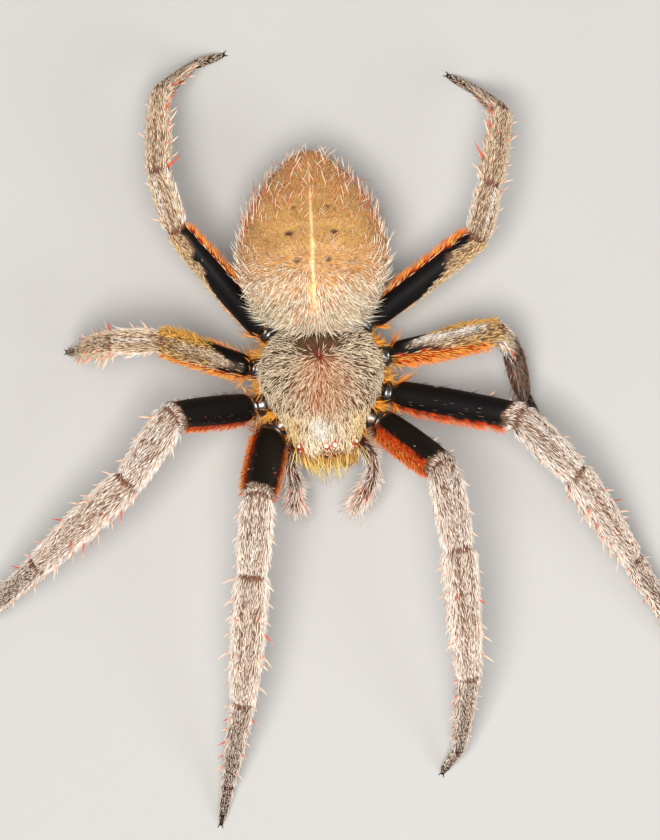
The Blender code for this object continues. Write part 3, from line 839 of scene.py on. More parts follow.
def leg_masks(leg, side, grid, turns, kinds, shares, before, after):
    """Where a leg is creamy, orange, golden, jointed, grooved, worn or bristly, and where shadow and sheen
    are painted on it.
    """
    kinds, shares, before, after = (x[:, None] for x in (kinds, shares, before, after))
    up, front = np.sin(turns)[None], -np.cos(turns)[None] * SIDES[side]
    femur = (kinds == FEMUR) * 1.0
    wavy = shares + 0.05 * wander(grid, 1.1)
    ragged = 0.1 * wander(grid, 0.4)
    strip = femur * pale_strip(leg, wavy, up, front + ragged)
    cuff = femur * ramp(shares + 0.2 * ragged, 0.89, 0.93) * (1 - (leg == 4) * ramp(-front, 0.5, 0.75))
    cream = np.clip((kinds >= PATELLA) + cuff + strip, 0, 1)
    low, kept = femur_fringe(leg, side, wavy, ragged, up, front)
    flame = femur * (1 - cream) * low * ramp(shares, 0.02, 0.12) * kept
    amber, arc, ring = hip_gold(leg, side, kinds, before, after, up)
    groove = ((kinds == PATELLA) | (kinds == TIBIA)) * bump_at(abs(front), 0.36, 0.1) * (up > 0)
    bristly = femur * (leg < 3) * ramp(abs(front), 0.5, 0.9) * (up > -0.3) * (1 - flame) * (1 - cream)
    # painted sheen: a thin silver line down the middle of the third legs' strip, strongest on the left leg
    sheen_strip = (0.3 + 0.7 * (side == "left")) * (leg == 3) * strip * bump_at(front, 0.2, 0.3)
    gilt = 0.6 * (leg == 3) * femur * ramp(-front, 0.25, 0.6) * ramp(up, -0.4, 0.0)
    ridge = (kinds == PATELLA) * bump_at(front, 0, 0.24) * (up > 0) * ramp(shares, 0.1, 0.3)
    outer_half = (kinds > PATELLA) + (kinds == PATELLA) * ramp(shares, 0.3, 0.8)
    dusk = (kinds == METATARSUS) * (0.2 + 0.4 * shares) + (kinds == TARSUS) * (0.58 + 0.42 * shares)
    olive = strip * ramp(shares + 0.3 * wander(grid, 0.7), 0.45, 0.8) * (1 - 0.5 * (leg == 4))
    joint = bump_at(np.minimum(before, after), 0, 0.085) * (kinds >= FEMUR) * (0.85 + 2.5 * ragged)
    gold = (0.5 + 0.3 * (leg == 4)) * ramp(abs(front), 0.88, 1.0) + 0.3 * (leg > 2)
    return {
        "cream": cream, "strip": strip, "flame": flame, "amber": amber, "olive": olive,
        "sheen_strip": sheen_strip * ramp(0.9 - shares, 0, 0.15), "gilt": gilt * ramp(wavy, 0.36, 0.6),
        "joint": joint, "knee": ramp(0.45 - after, 0, 0.35) * (kinds >= FEMUR),
        "gold": np.clip(gold, 0, 0.85), "ring": ring, "arc": arc, "ridge": ridge, "dusk": dusk,
        "groove": groove * ramp(1 - shares, 0.25, 0.5), "bristly": bristly, "up": up,
        # painted shadow: the outer half of the left third leg
        "shadow": (leg == 3) * (side == "left") * outer_half,
        "beside": ramp(abs(front), 0.55, 0.97),
    }

# %% Colours and hair of a leg
BLACK, SHADOW_BROWN, WARM_BROWN = colour(6, 5, 5), colour(86, 62, 46), colour(92, 54, 36)
BLOOD_RED, JOINT_RED, COXA_BROWN = colour(246, 88, 32), colour(92, 30, 20), colour(14, 8, 7)
CREAM, CREAM_ROOT, PALEST = colour(255, 242, 228), colour(212, 182, 160), colour(255, 252, 246)
SAND, SAND_ROOT = colour(246, 220, 180), colour(186, 148, 110)
FLAME, FLAME_ROOT, GOLD = colour(255, 136, 56), colour(255, 92, 32), colour(255, 200, 96)
AMBER, AMBER_ROOT = colour(255, 184, 70), colour(248, 128, 28)
OLIVE, OLIVE_ROOT, DUSK = colour(240, 196, 120), colour(166, 116, 58), colour(88, 56, 42)
FAWN, SHEEN_GREY, TAN = colour(242, 216, 192), colour(176, 172, 168), colour(112, 84, 64)
WHOLE_HAIRS = ("flame", "amber", "gilt", "bristly")      # these colour a hair fully even where faint
HAIR_LENGTHS = (0.95, 0.78, 0.85, 0.9, 0.8, 0.5)         # one for each segment, from the coxa outwards
HAIR_WIDTHS = (0.07, 0.048, 0.046, 0.047, 0.046, 0.042)
COAT_PER_MM2, FRINGE_PER_MM2, STRAY_PER_MM2 = 90, 60, 5


def leg_colours(leg, at, kinds):
    """The shell's colour, and the colours of a hair's root and tip, at each point of a leg."""
    sandy = np.clip((leg > 2) * 0.75 + at["strip"], 0, 1)
    ground = mixed(BLACK, TAN, at["cream"])
    ground = mixed(ground, COXA_BROWN, (kinds == COXA) * 1.0)
    ground = mixed(ground, BLOOD_RED, at["flame"] * (0.85 - 0.35 * (leg > 2)))
    ground = mixed(ground, JOINT_RED, at["joint"] * 0.85 * at["cream"])
    # painted sheen: the shell under the silver line is painted grey
    ground = mixed(ground, SHEEN_GREY, at["sheen_strip"] * 0.85)
    # the shell darkens under the painted shadow of the left third leg, towards the toes and under the
    # olive
    dark = np.clip(at["shadow"] * 0.7 + at["dusk"] * 1.1 + at["olive"] * 0.4, 0, 0.95)
    root, tip = mixed(CREAM_ROOT, SAND_ROOT, sandy), mixed(CREAM, SAND, sandy)
    flame_root = mixed(FLAME_ROOT, AMBER_ROOT, 0.5 * (leg > 2))
    flame_tip = mixed(FLAME, GOLD, at["gold"])
    for name, deep, pale, share in (
        ("flame", flame_root, flame_tip, 1.0),
        ("amber", AMBER_ROOT, AMBER, 1.0),
        ("olive", OLIVE_ROOT, OLIVE, 0.8),
        ("dusk", DUSK, FAWN, 0.72),
        ("ridge", CREAM, PALEST, 0.8),
        ("sheen_strip", SHEEN_GREY, PALEST, 0.85),
        ("gilt", OLIVE_ROOT, GOLD, 1.0),
        ("shadow", SHADOW_BROWN, WARM_BROWN, 0.85),
        ("bristly", BLACK, WARM_BROWN, 0.9),
    ):
        mask = ramp(at[name], 0.0, 0.1) if name in WHOLE_HAIRS else at[name]
        root, tip = mixed(root, deep, mask * share), mixed(tip, pale, mask * share)
    return mixed(ground, BLACK, dark), root, tip


def leg_look(leg, side, grid, turns, kinds, shares, before, after):
    """Everything that a leg's skin stores: shell colour and gloss, and the coat's values."""
    at = leg_masks(leg, side, grid, turns, kinds, shares, before, after)
    kinds, shares = kinds[:, None], shares[:, None]
    ground, root, tip = leg_colours(leg, at, kinds)
    along, round_it = flows(grid)
    apart = np.sign(np.cos(turns))[None, :, None] * (0.16 + 2.0 * at["arc"][..., None])
    flame, beside = at["flame"], at["beside"]
    bright = np.clip(flame + at["amber"] + at["gilt"], 0, 1)
    wide = np.clip(beside + bright, 0, 1)
    length = np.choose(kinds, HAIR_LENGTHS) * (1 - 0.3 * shares * (kinds >= METATARSUS))
    length = length * (0.48 + 0.36 * wide + 0.16 * bright + 0.3 * (leg == 1) * flame)
    closeness = COAT_PER_MM2 - 18 * (kinds == METATARSUS) - 30 * (at["up"] < 0)
    density = at["cream"] * closeness * (1 - 0.85 * at["groove"])
    density = density * (1 - np.clip(at["joint"], 0, 1)) * (1 - 0.2 * beside)
    density = density + bright * FRINGE_PER_MM2 + at["bristly"] * STRAY_PER_MM2
    density = density - 24 * (leg == 2) * flame + 30 * at["sheen_strip"]
    return {
        "ground": ground,
        "gloss": np.clip(1 - at["cream"] - 0.6 * bright, 0, 1) * (0.07 + 0.93 * at["ring"]),
        "density": density * (1 - 0.35 * at["shadow"]),
        "length": length * (1 - 0.5 * at["knee"] - 0.6 * at["arc"]),
        "thick": np.choose(kinds, HAIR_WIDTHS) + 0.01 * beside + 0.021 * bright,
        "lift": 0.20 + 0.56 * bright + 0.12 * flame + 0.22 * beside * at["cream"] + 0.3 * at["bristly"],
        "lie": along + round_it * apart * (1 - flame[..., None]),
        "upturn": 0.45 * flame * ramp(outward(grid)[..., 2], -0.6, -0.1),
        "root_colour": root,
        "tip_colour": tip,
    }

# %% [markdown]
# Real legs also carry stout spines in rows, orange at the base and pale at the point. They stand up
# far more steeply than the coat, so they are planted one by one, row by row. Between them stand
# close rows of long pale setae, which give the leg its bright, ruffled outline.

# %% Spines and long setae
SPINE_ROWS = (           # segment, shares along it, degrees from the back of the leg, length
    (FEMUR, (0.72, 0.9), (40, -40), 0.5),
    (PATELLA, (0.22, 0.55, 0.85), (78, -78), 0.85),
    (TIBIA, (0.07, 0.19, 0.32, 0.45, 0.59, 0.73, 0.87), (84, -84), 1.05),
    (TIBIA, (0.3, 0.62), (40, -40), 0.7),
    (TIBIA, (0.16, 0.36, 0.56, 0.76, 0.93), (128, -128), 0.9),
    (METATARSUS, (0.06, 0.2, 0.34, 0.48, 0.64, 0.82), (84, -84), 0.8),
    (METATARSUS, (0.16, 0.4, 0.66), (130, -130), 0.65),
)
SETA_SHARES, SETA_ANGLES = tuple(np.linspace(0.03, 0.98, 26)), (76, -76, 98, -98)
SETA_LENGTHS = {PATELLA: 0.78, TIBIA: 0.68, METATARSUS: 0.58}
SETA_ROWS = tuple((kind, SETA_SHARES, SETA_ANGLES, length) for kind, length in SETA_LENGTHS.items())
SPINE_ROOT, SPINE_TIP = colour(240, 84, 36), colour(255, 212, 178)
SPINE_LIFT, SETA_LIFT = math.radians(54), math.radians(34)
SPINE_SLENDERNESS, SETA_WIDTH = 0.125, 0.066
SHARE_SLIP, TURN_SLIP = 0.025, 7         # how far a bristle strays from its row, in shares and degrees
# painted shadow: beyond the patella, the spines and long setae of this leg keep only this share of their
# colour
SHADOWED_LEG, PAINTED_SHADE = (3, "left"), 0.25
LANES, LANE_FILL = 8, 4.5                # the legs share one flat map, each in its own lane


def lane(number, u, v):
    """Places on the flat map that the eight legs share."""
    return np.stack(((number + LANE_FILL * u) / LANES, v, 0 * v), axis=-1)


def row_roots(bristle_rows, grid, turns, kinds, shares, number, luck, dark):
    """Places and directions of the bristles that stand in rows on one leg."""
    along, out = flows(grid)[0], outward(grid)
    u, v = unrolled(grid)
    roots = {"place": [], "facing": [], "lie": [], "length": [], "unroll": [], "shade": []}
    for kind, row_shares, angles, length in bristle_rows:
        for share in row_shares:
            for angle in angles:
                share_here = share + luck.uniform(-SHARE_SLIP, SHARE_SLIP)
                row = int(np.argmin(abs(shares - share_here) + 10 * (kinds != kind)))
                way = math.radians(90 - angle + luck.uniform(-TURN_SLIP, TURN_SLIP))
                column = int(np.argmax(np.cos(turns - way)))
                roots["place"].append(grid[row, column])
                roots["facing"].append(out[row, column])
                roots["lie"].append(along[row, column])
                roots["length"].append(length * luck.uniform(0.8, 1.2))
                # bristles in the painted shadow are darkened
                roots["shade"].append(PAINTED_SHADE if dark and kind > PATELLA else 1.0)
                roots["unroll"].append(lane(number, u[column], v[row]))
    return roots

# %% Build the legs
leg_shapes, spines, setae = [], {}, {}
luck = np.random.default_rng(11)
for number, (leg, side) in enumerate((leg, side) for leg in LEGS for side in SIDES):
    names, parts, *rows = leg_rows(leg, side)
    kinds, shares, before, after = rows
    grid, turns = leg_grid(parts, kinds, before, after, RING_ENDS.get((leg, side), 0.0))
    look = leg_look(leg, side, grid, turns, *rows)
    skin = skin_object(f"leg_{leg}_{side}_skin", grid, look, LEG_SHELL)
    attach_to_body(skin, SPIDER_BODY)
    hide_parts(*names)
    coat(f"leg_{leg}_{side}_coat", skin, FLAT_SETA, seed=20 + number, unruly=0.13)
    dark = (leg, side) == SHADOWED_LEG
    for bristle_rows, kept in ((SPINE_ROWS, spines), (SETA_ROWS, setae)):
        found = row_roots(bristle_rows, grid, turns, kinds, shares, number, luck, dark)
        for key, values in found.items():
            kept.setdefault(key, []).extend(values)
    leg_shapes.append((grid, kinds, before, after))

# %% Plant the spines and the long setae
# spines and long setae in the painted shadow of the left third leg carry a darker stored shade
shade = np.array(spines["shade"])[:, None]
spines["lift"] = SPINE_LIFT
spines["thick"] = np.array(spines["length"]) * SPINE_SLENDERNESS
spines["root_colour"], spines["tip_colour"] = SPINE_ROOT * shade, SPINE_TIP * shade
planted_hairs("leg_spines", spines, SPINE, seed=3, unruly=0.08)
shade = np.array(setae["shade"])[:, None]
setae["lift"], setae["thick"] = SETA_LIFT, SETA_WIDTH
setae["root_colour"], setae["tip_colour"] = CREAM_ROOT * shade, PALEST * shade
planted_hairs("leg_setae", setae, LONG_HAIR, seed=7, unruly=0.16, curl=0.3)
print("spines:", len(spines["place"]), "long setae:", len(setae["place"]))

# %% [markdown]
# The hips are the most colourful part. Long golden hairs stand in tufts on the coxae and on both
# sides of each trochanter, and leave the glossy ring between them bare. They curl over one another,
# so their roots are drawn by lot from the rows near the hip, mostly on the two sides.

# %% Hip tufts
TUFT_HAIRS, TUFT_WIDTH = 420, 0.08
tufts = []
luck = np.random.default_rng(29)
for number, (grid, kinds, before, after) in enumerate(leg_shapes):
    along, round_it = flows(grid)
    out = outward(grid)
    u, v = unrolled(grid)
    hip = np.where(kinds == COXA, ramp(after, 0.75, 1.0) * ramp(2.8 - after, 0, 0.8), 0.0)
    hip = hip + (kinds == FEMUR) * 0.2 * ramp(0.7 - before, 0, 0.5)
    flank = ramp(0.62 - out[..., 2], 0, 0.25) + 0.3 * (ramp(after, 1.5, 1.9) * (kinds == COXA))[:, None]
    chance = hip[:, None] * flank * (out[..., 2] > -0.6)
    picks = luck.choice(chance.size, TUFT_HAIRS, p=(chance / chance.sum()).ravel())
    rows, columns = np.unravel_index(picks, chance.shape)
    sway = luck.normal(0, 0.3, TUFT_HAIRS)[:, None]
    reddish = luck.uniform(0, 0.55, TUFT_HAIRS) * (kinds[rows] == FEMUR)
    tufts.append({
        "place": grid[rows, columns],
        "facing": out[rows, columns],
        "lie": along[rows, columns] + round_it[rows, columns] * sway,
        "length": luck.uniform(0.8, 1.6, TUFT_HAIRS),
        "lift": luck.uniform(0.35, 0.95, TUFT_HAIRS),
        "unroll": lane(number, u[columns], v[rows]),
        "root_colour": mixed(AMBER_ROOT, FLAME_ROOT, reddish),
        "tip_colour": mixed(AMBER, FLAME, reddish),
    })
tufts = {key: np.concatenate([tuft[key] for tuft in tufts]) for key in tufts[0]}
tufts["thick"] = TUFT_WIDTH
planted_hairs("hip_tufts", tufts, LONG_HAIR, seed=5, unruly=0.2, curl=0.6)

# %% [markdown]
# ## Claws
#
# A web spider walks on two hooked claws at the tip of each foot, with a tuft round them. Each claw
# is a short horn swept along a curve, and so are the fangs and the spinnerets further on, so one
# helper makes a horn from a path and its widths.

# %% Horns
def swept(path, widths, columns=12):
    """A round grid along a smooth path of points."""
    path = np.array(path, dtype=float)
    along = unit(np.gradient(path, axis=0))
    spare = (0, 0, 1) if abs(along[0][2]) < 0.9 else (1, 0, 0)
    sides = unit(np.cross(along, spare))
    ups = np.cross(along, sides)
    turns = np.arange(columns) * 2 * np.pi / columns
    return ring_grid(path, sides, ups, np.tile(np.array(widths)[:, None], columns), turns)


def curved(points, count):
    """Points along a Bezier curve of any degree."""
    t = np.linspace(0, 1, count)[:, None]
    level = [np.array(point, dtype=float) + 0 * t for point in points]
    while len(level) > 1:
        level = [a * (1 - t) + b * t for a, b in zip(level, level[1:])]
    return level[0]


def tapered(start, end, count, roundness=0.5):
    """Widths that shrink along a horn and close smoothly at the tip."""
    t = np.linspace(0, 1, count)
    return (start + (end - start) * t) * np.minimum(1, ((1 - t) * count / 2 + 0.08)) ** roundness

# %% Claws on every foot
CLAW_LENGTH, CLAW_ROOT, CLAW_TIP, CLAW_ROWS = 0.42, 0.055, 0.018, 9
HORN_BROWN = colour(40, 18, 12)


def paint(piece, ground, gloss):
    """Stores a colour and a gloss on a piece: one of each, or one for every point."""
    count = len(piece.data.vertices)
    add_values(piece.data, "ground", np.broadcast_to(ground, (count, 4)))
    add_values(piece.data, "gloss", np.broadcast_to(gloss, count))


def claw_path(grid, spread):
    """One claw: out from the toe, then hooked down to the floor."""
    toe, back = grid[-1].mean(axis=0), grid[-6].mean(axis=0)
    way = unit((toe - back) * (1, 1, 0.3))
    aside = unit(np.cross(way, (0, 0, 1))) * spread
    root = toe - way * 0.12 + aside * 0.05
    over = root + way * CLAW_LENGTH * 0.8 + aside * 0.12 + (0, 0, 0.05)
    tip = root + way * CLAW_LENGTH * 0.9 + aside * 0.14
    return curved((root, over, (tip[0], tip[1], FLOOR_CLEARANCE)), CLAW_ROWS)


widths = tapered(CLAW_ROOT, CLAW_TIP, CLAW_ROWS)
claws = [swept(claw_path(grid, spread), widths, 8) for grid, *_ in leg_shapes for spread in (-1, 1)]
horn_finish = shell_finish("claw_and_fang_shell", grain=0.05, depth=0.006)
claw_piece = joined_tubes("claws", claws, horn_finish)
paint(claw_piece, HORN_BROWN, 1.0)
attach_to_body(claw_piece, SPIDER_BODY)
print("claws:", len(claws))

# %% [markdown]
# ## Abdomen
#
# The abdomen is soft hide over a bag of organs. Its markings are old muscle anchors: pairs of dark
# dimples (sigilla) beside a beaded cream line that runs over the heart. The skin is sliced from
# tail to front, and every marking is placed by its distance from the heart line and from the waist.

# %% Abdomen skin
WAIST = np.array((0.864, 8.095, 0.0))        # the abdomen turns about this upright line
TAIL_TURN = math.radians(3.1)
TAIL_WAY = np.array((math.sin(TAIL_TURN), math.cos(TAIL_TURN), 0.0))
ACROSS = np.array((math.cos(TAIL_TURN), -math.sin(TAIL_TURN), 0.0))
ABDOMEN_ROWS, ABDOMEN_COLUMNS, ABDOMEN_WAVES = 150, 176, 8
HIDE_DEPTH = 0.14        # how deep the skin lies under the solid, to leave room for the down
THINNEST = 0.02          # the least reach of a slice
SOCKET_ROWS, SOCKET_COLUMNS = 14, 10


def filled(reach, rows, columns):
    """Closes dents narrower than a window, such as the sockets cut into a solid."""
    reach = np.pad(reach, ((rows + 1, rows + 1), (0, 0)))
    for pick in (np.maximum, np.minimum):
        for axis, times in ((0, rows), (1, columns)):
            for _ in range(times):
                reach = pick(pick(np.roll(reach, 1, axis), np.roll(reach, -1, axis)), reach)
    return reach[rows + 1:-rows - 1]


def body_grid(node, origin, way, side, rows, columns, waves, depth, fill, easing):
    """The skin of one solid, sliced square to one direction, with closer rows at both ends."""
    reach = (points_of(node) - origin) @ way
    low, high = reach.min(), reach.max()
    share = (1 - np.cos(np.linspace(0.06, np.pi - 0.06, rows))) / 2
    middle = sum(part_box(node), Vector()) / 2 / MM
    start = origin + way * low
    start = np.array((start[0], start[1], middle[2]))
    end = start + way * (high - low)
    parts = stack_of_slices(node, start, end, (way, way), side, share, columns)
    middles, sides, ups, reaches, turns = parts
    reaches = eased(rounded(filled(reaches, *fill), waves), easing)
    return ring_grid(eased(middles, easing), sides, ups, np.maximum(reaches - depth, THINNEST), turns)


grid = body_grid("abdomen", WAIST, -TAIL_WAY, ACROSS, ABDOMEN_ROWS, ABDOMEN_COLUMNS,
                 ABDOMEN_WAVES, HIDE_DEPTH, fill=(SOCKET_ROWS, SOCKET_COLUMNS), easing=6)
print("abdomen skin in mm:", grid.min(axis=(0, 1)).round(1), grid.max(axis=(0, 1)).round(1))

# %% Abdomen markings
OCHRE, TAWNY, BRICK = colour(212, 170, 96), colour(182, 138, 76), colour(190, 138, 82)
STRAW, IVORY, PLUM = colour(236, 194, 134), colour(248, 222, 164), colour(70, 26, 30)
HAIR_RED, HAIR_PINK = colour(176, 98, 52), colour(252, 208, 160)
PEACH, MILK, FRONT_CREAM = colour(216, 154, 104), colour(255, 242, 216), colour(252, 214, 158)
BELLY_BROWN, BELLY_PALE = colour(96, 66, 44), colour(206, 168, 118)
DIMPLE_DEPTH, HEART_HEIGHT = 0.09, 0.035
DOWN_PER_MM2, FRONT_EXTRA_PER_MM2 = 42, 14
SIGILLA = (              # distance from the heart line and from the waist, half sizes, darkness
    (1.53, 5.01, 0.33, 0.19, 1.0),
    (1.05, 3.18, 0.26, 0.20, 0.9),
    (1.15, 6.76, 0.17, 0.13, 0.8),
)
ARCS = (7.4, 5.5, 3.9)   # where the paler bands across the back cross the heart line


def abdomen_place(grid):
    """Distance to the left of the heart line and backward from the waist."""
    return (grid - WAIST) @ ACROSS, (grid - WAIST) @ TAIL_WAY


def sigilla_mask(x, y, halo=0.0):
    spots = 0 * x
    for across, back, wide, long, dark in SIGILLA:
        away = ((abs(x) - across) / (wide + halo)) ** 2 + ((y - back) / (long + halo)) ** 2
        spots = np.maximum(spots, dark * np.exp(-away**3))
    return spots


def heart_line(x, y, noise):
    """The beaded cream line: thin at the tail, wider beads towards the front."""
    beads = 0.5 + 0.5 * np.cos(y * 2 * np.pi / (0.42 + 0.02 * np.sin(y * 3)))
    width = 0.052 + 0.073 * ramp(8.6 - y, 0, 4) * (0.25 + 0.75 * beads)
    strength = 0.66 + 0.34 * ramp(7.0 - y, 0, 3)
    line = strength * np.exp(-(((x - 0.07 * noise) / width) ** 4))
    return line * ramp(y, -0.9, 0.0) * ramp(10.4 - y, 0.0, 0.8)

# %% Relief of the abdomen
back_side = ramp(outward(grid)[..., 2], -0.15, 0.35)
x, y = abdomen_place(grid)
noise = wander(grid, 1.6)
spots = sigilla_mask(x, y) * back_side
line = heart_line(x, y, wander(grid, 0.7)) * back_side
grid = grid - outward(grid) * (DIMPLE_DEPTH * spots - HEART_HEIGHT * line)[..., None]
print("share of the abdomen in dimples:", round(float(spots.mean()), 3))

# %% Abdomen colours and down
def hide_colour(x, y):
    """Ochre and tawny blotches, paler bands, the heart line and the dimples."""
    side_share = ramp(abs(x), 2.2, 4.8)
    hide = mixed(OCHRE, TAWNY, 0.5 + 0.5 * noise)
    hide = mixed(hide, TAWNY, 0.9 * bump_at(x, 0, 2.6) * ramp(y, 0.6, 2.4))
    hide = mixed(hide, BRICK, np.clip(ramp(y, 7.0, 10.4) * 0.6 + side_share * 0.4, 0, 0.75))
    hide = mixed(hide, BRICK, 0.6 * bump_at(y, 2.6, 1.5))
    arcs = sum(bump_at(y + 0.13 * x**2 - 0.25 * abs(x), place, 0.17) for place in ARCS)
    hide = mixed(hide, STRAW, 0.24 * arcs)
    hide = mixed(hide, FRONT_CREAM, 0.7 * ramp(1.9 - y, 0, 1.9))
    marks = mixed(mixed(hide, IVORY, line), PLUM, spots * 0.95)
    pale_patch = bump_at(abs(x), 1.1, 0.35) * bump_at(y, 3.6, 0.8)
    belly = mixed(BELLY_BROWN, BELLY_PALE, pale_patch * 0.8)
    return mixed(belly, marks, back_side)


def abdomen_look(x, y):
    """Everything that the abdomen's skin stores; towards the front the down is longer and paler."""
    ground = hide_colour(x, y)
    front = ramp(2.0 - y, 0, 1.8) * back_side
    out_way = np.sign(x)[..., None] * ACROSS * np.clip(abs(x) * 0.8, 0.2, 1.2)[..., None]
    backward = TAIL_WAY * ramp(y, 2.6, 5.2)[..., None] - TAIL_WAY * ramp(3.6 - y, 0, 2.4)[..., None]
    paler = ramp(5.0 - y - 0.6 * noise, 0, 3.6)
    parting = 0.9 * bump_at(x, 0, 0.2) * ramp(y, -0.4, 0.2) * ramp(10.2 - y, 0, 1.0)
    clear = np.maximum(sigilla_mask(x, y, 0.16), parting)
    density = DOWN_PER_MM2 + FRONT_EXTRA_PER_MM2 * paler
    root = mixed(mixed(ground, HAIR_RED, 0.6 * back_side), PEACH, 0.8 * paler * back_side)
    tip = mixed(mixed(ground, HAIR_PINK, 0.7 * back_side), MILK, np.clip(paler * back_side, 0, 1))
    return {
        "ground": ground,
        "gloss": 0.12 + 0.25 * spots,
        "density": density * (0.3 + 0.7 * back_side) * (1 - 0.95 * clear),
        "length": (0.46 + 0.34 * paler + 0.3 * front) * (1 - 0.3 * (1 - back_side)),
        "thick": 0.042 + 0.023 * paler,
        "lift": 0.34 + 0.12 * ramp(y, 6, 10) + 0.15 * paler,
        "lie": backward + out_way * 0.75 + 1e-3,
        "root_colour": mixed(root, FRONT_CREAM, 0.6 * front * ramp(abs(x), 0.6, 2.6)),
        "tip_colour": tip,
    }


abdomen = skin_object("abdomen_skin", grid, abdomen_look(x, y), HIDE)
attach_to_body(abdomen, SPIDER_BODY)
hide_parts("abdomen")
coat("abdomen_down", abdomen, DOWN_HAIR, seed=41, unruly=0.3, curl=0.5)

# %% [markdown]
# Over the down stand longer bristles with red bases and pale points. They lean back and outwards in
# pairs, so their points cross in small chevrons. At the front they lie forward in a thick cream
# fringe that hangs over the carapace. Both are scattered over the same skin: only its stored
# values change before each is grown.

# %% Abdomen bristles
BRISTLE_ROOT, BRISTLE_TIP, PEACH_PALE = colour(228, 120, 70), colour(255, 224, 194), colour(238, 176, 126)
FRINGE_ROOT = colour(236, 182, 132)
FRONT_FRINGE_PER_MM2 = 30


def restore(mesh, **values):
    """Changes values that a skin carries."""
    for name, value in values.items():
        mesh.attributes.remove(mesh.attributes[name])
        add_values(mesh, name, with_poles(each_point(value, x.shape)))


either = np.random.default_rng(23).choice((-1.0, 1.0), size=x.shape)[..., None]
rim = ramp(abs(outward(grid) @ ACROSS), 0.55, 0.95)
upper = ramp(outward(grid)[..., 2], -0.5, 0.1)
tail = ramp(y, 4.6, 8.0)
restore(
    abdomen.data,
    density=(1.9 + 2.9 * np.clip(tail + rim, 0, 1) + 2.5 * rim) * upper * (1 - spots),
    length=0.8 + 0.5 * tail + 0.5 * rim - 0.2 * tail * rim,
    thick=0.05 + 0.022 * np.clip(tail + rim, 0, 1),
    lift=0.62 + 0.06 * tail,
    lie=TAIL_WAY + ACROSS * either * 0.8 + ACROSS * (np.sign(x) * 0.9 * rim)[..., None],
    root_colour=mixed(BRISTLE_ROOT, PEACH_PALE, ramp(6.2 - y, 0, 2.8) * (0.35 + 0.65 * rim)),
    tip_colour=mixed(BRISTLE_TIP, MILK, ramp(6.2 - y, 0, 2.8)),
)
coat("abdomen_bristles", abdomen, LONG_HAIR, seed=43, unruly=0.25, curl=0.4)

# %% Abdomen fringe
outwards = np.sign(x)[..., None] * ACROSS * np.clip(abs(x) * 0.42, 0.05, 1.6)[..., None]
upper = ramp(outward(grid)[..., 2], -0.35, 0.3)
parting = 0.9 * bump_at(x, 0, 0.2) * ramp(y, -0.5, 0.0)
restore(
    abdomen.data,
    density=FRONT_FRINGE_PER_MM2 * ramp(2.6 - y, 0, 2.4) * upper * (1 - parting),
    length=1.3 + 0.6 * ramp(0.8 - y, 0, 1.4),
    thick=0.07,
    lift=0.42,
    lie=outwards - TAIL_WAY,
    root_colour=FRINGE_ROOT,
    tip_colour=MILK,
)
coat("abdomen_fringe", abdomen, LONG_HAIR, seed=47, unruly=0.28, curl=0.5)

# %% [markdown]
# ## Carapace
#
# The carapace is the hard shield over the head and chest. Muscles of the sucking stomach pull on it
# from inside at the fovea, a dark red star behind its middle. Its hairs all point away from the
# fovea, and the hollow behind it is bare and glossy. The head at the front carries eight eyes.
# Each stands in a bare red rim, widest at the two pairs on the sides of the head.
#
# The relief is a sum of simple shapes: the star, the pit in its middle, two grooves that part the
# head from the chest, the hollow, low rays that fan out from the fovea to the legs, and a raised
# socket round each eye. The colours and the coat then read the same masks.

# %% Carapace skin
CHEST = np.array((0.864, 3.895, 0.0))
FOVEA_BACK = 1.15         # how far the fovea lies behind the middle of the chest
EYE_KINDS = ("median_rear", "median_front", "lateral_rear", "lateral_front")
EYES = {}
for kind in EYE_KINDS:
    for side in SIDES:
        low, high = box_of(f"eye_{kind}_{side}")
        EYES[kind, side] = ((low + high) / 2, (high - low).mean() / 2)
FORWARD, LEFT = np.array((0.0, -1.0, 0.0)), np.array((1.0, 0.0, 0.0))
CARAPACE_ROWS, CARAPACE_COLUMNS, CARAPACE_WAVES = 150, 168, 16
SHIELD_DEPTH = 0.10
grid = body_grid("carapace", CHEST, FORWARD, LEFT, CARAPACE_ROWS, CARAPACE_COLUMNS,
                 CARAPACE_WAVES, SHIELD_DEPTH, fill=(4, 4), easing=4)


def to_eyes(grid, kinds=EYE_KINDS):
    """Distance from every point to the middle of the nearest eye, in eye radii."""
    chosen = [EYES[kind, side] for kind in kinds for side in SIDES]
    return np.min([np.linalg.norm(grid - place, axis=-1) / radius for place, radius in chosen], axis=0)


def branch(x, y, ends, width):
    """A soft line from the fovea along straight pieces."""
    mask = 0 * x
    for (x0, y0), (x1, y1) in zip(ends, ends[1:]):
        run = np.array((x1 - x0, y1 - y0))
        share = np.clip(((x - x0) * run[0] + (y - y0) * run[1]) / (run @ run), 0, 1)
        away = np.hypot(x - x0 - share * run[0], y - y0 - share * run[1])
        mask = np.maximum(mask, np.exp(-(away / width) ** 2))
    return mask


STAR = tuple(((0, FOVEA_BACK), end) for end in ((-0.05, 2.1), (0.95, 1.75), (-0.85, 1.85), (0.12, 0.45)))
HEAD_GROOVE = (((0.5, 0.4), (1.9, -1.3), (2.9, -2.3)), ((-0.5, 0.4), (-1.9, -1.3), (-2.9, -2.3)))

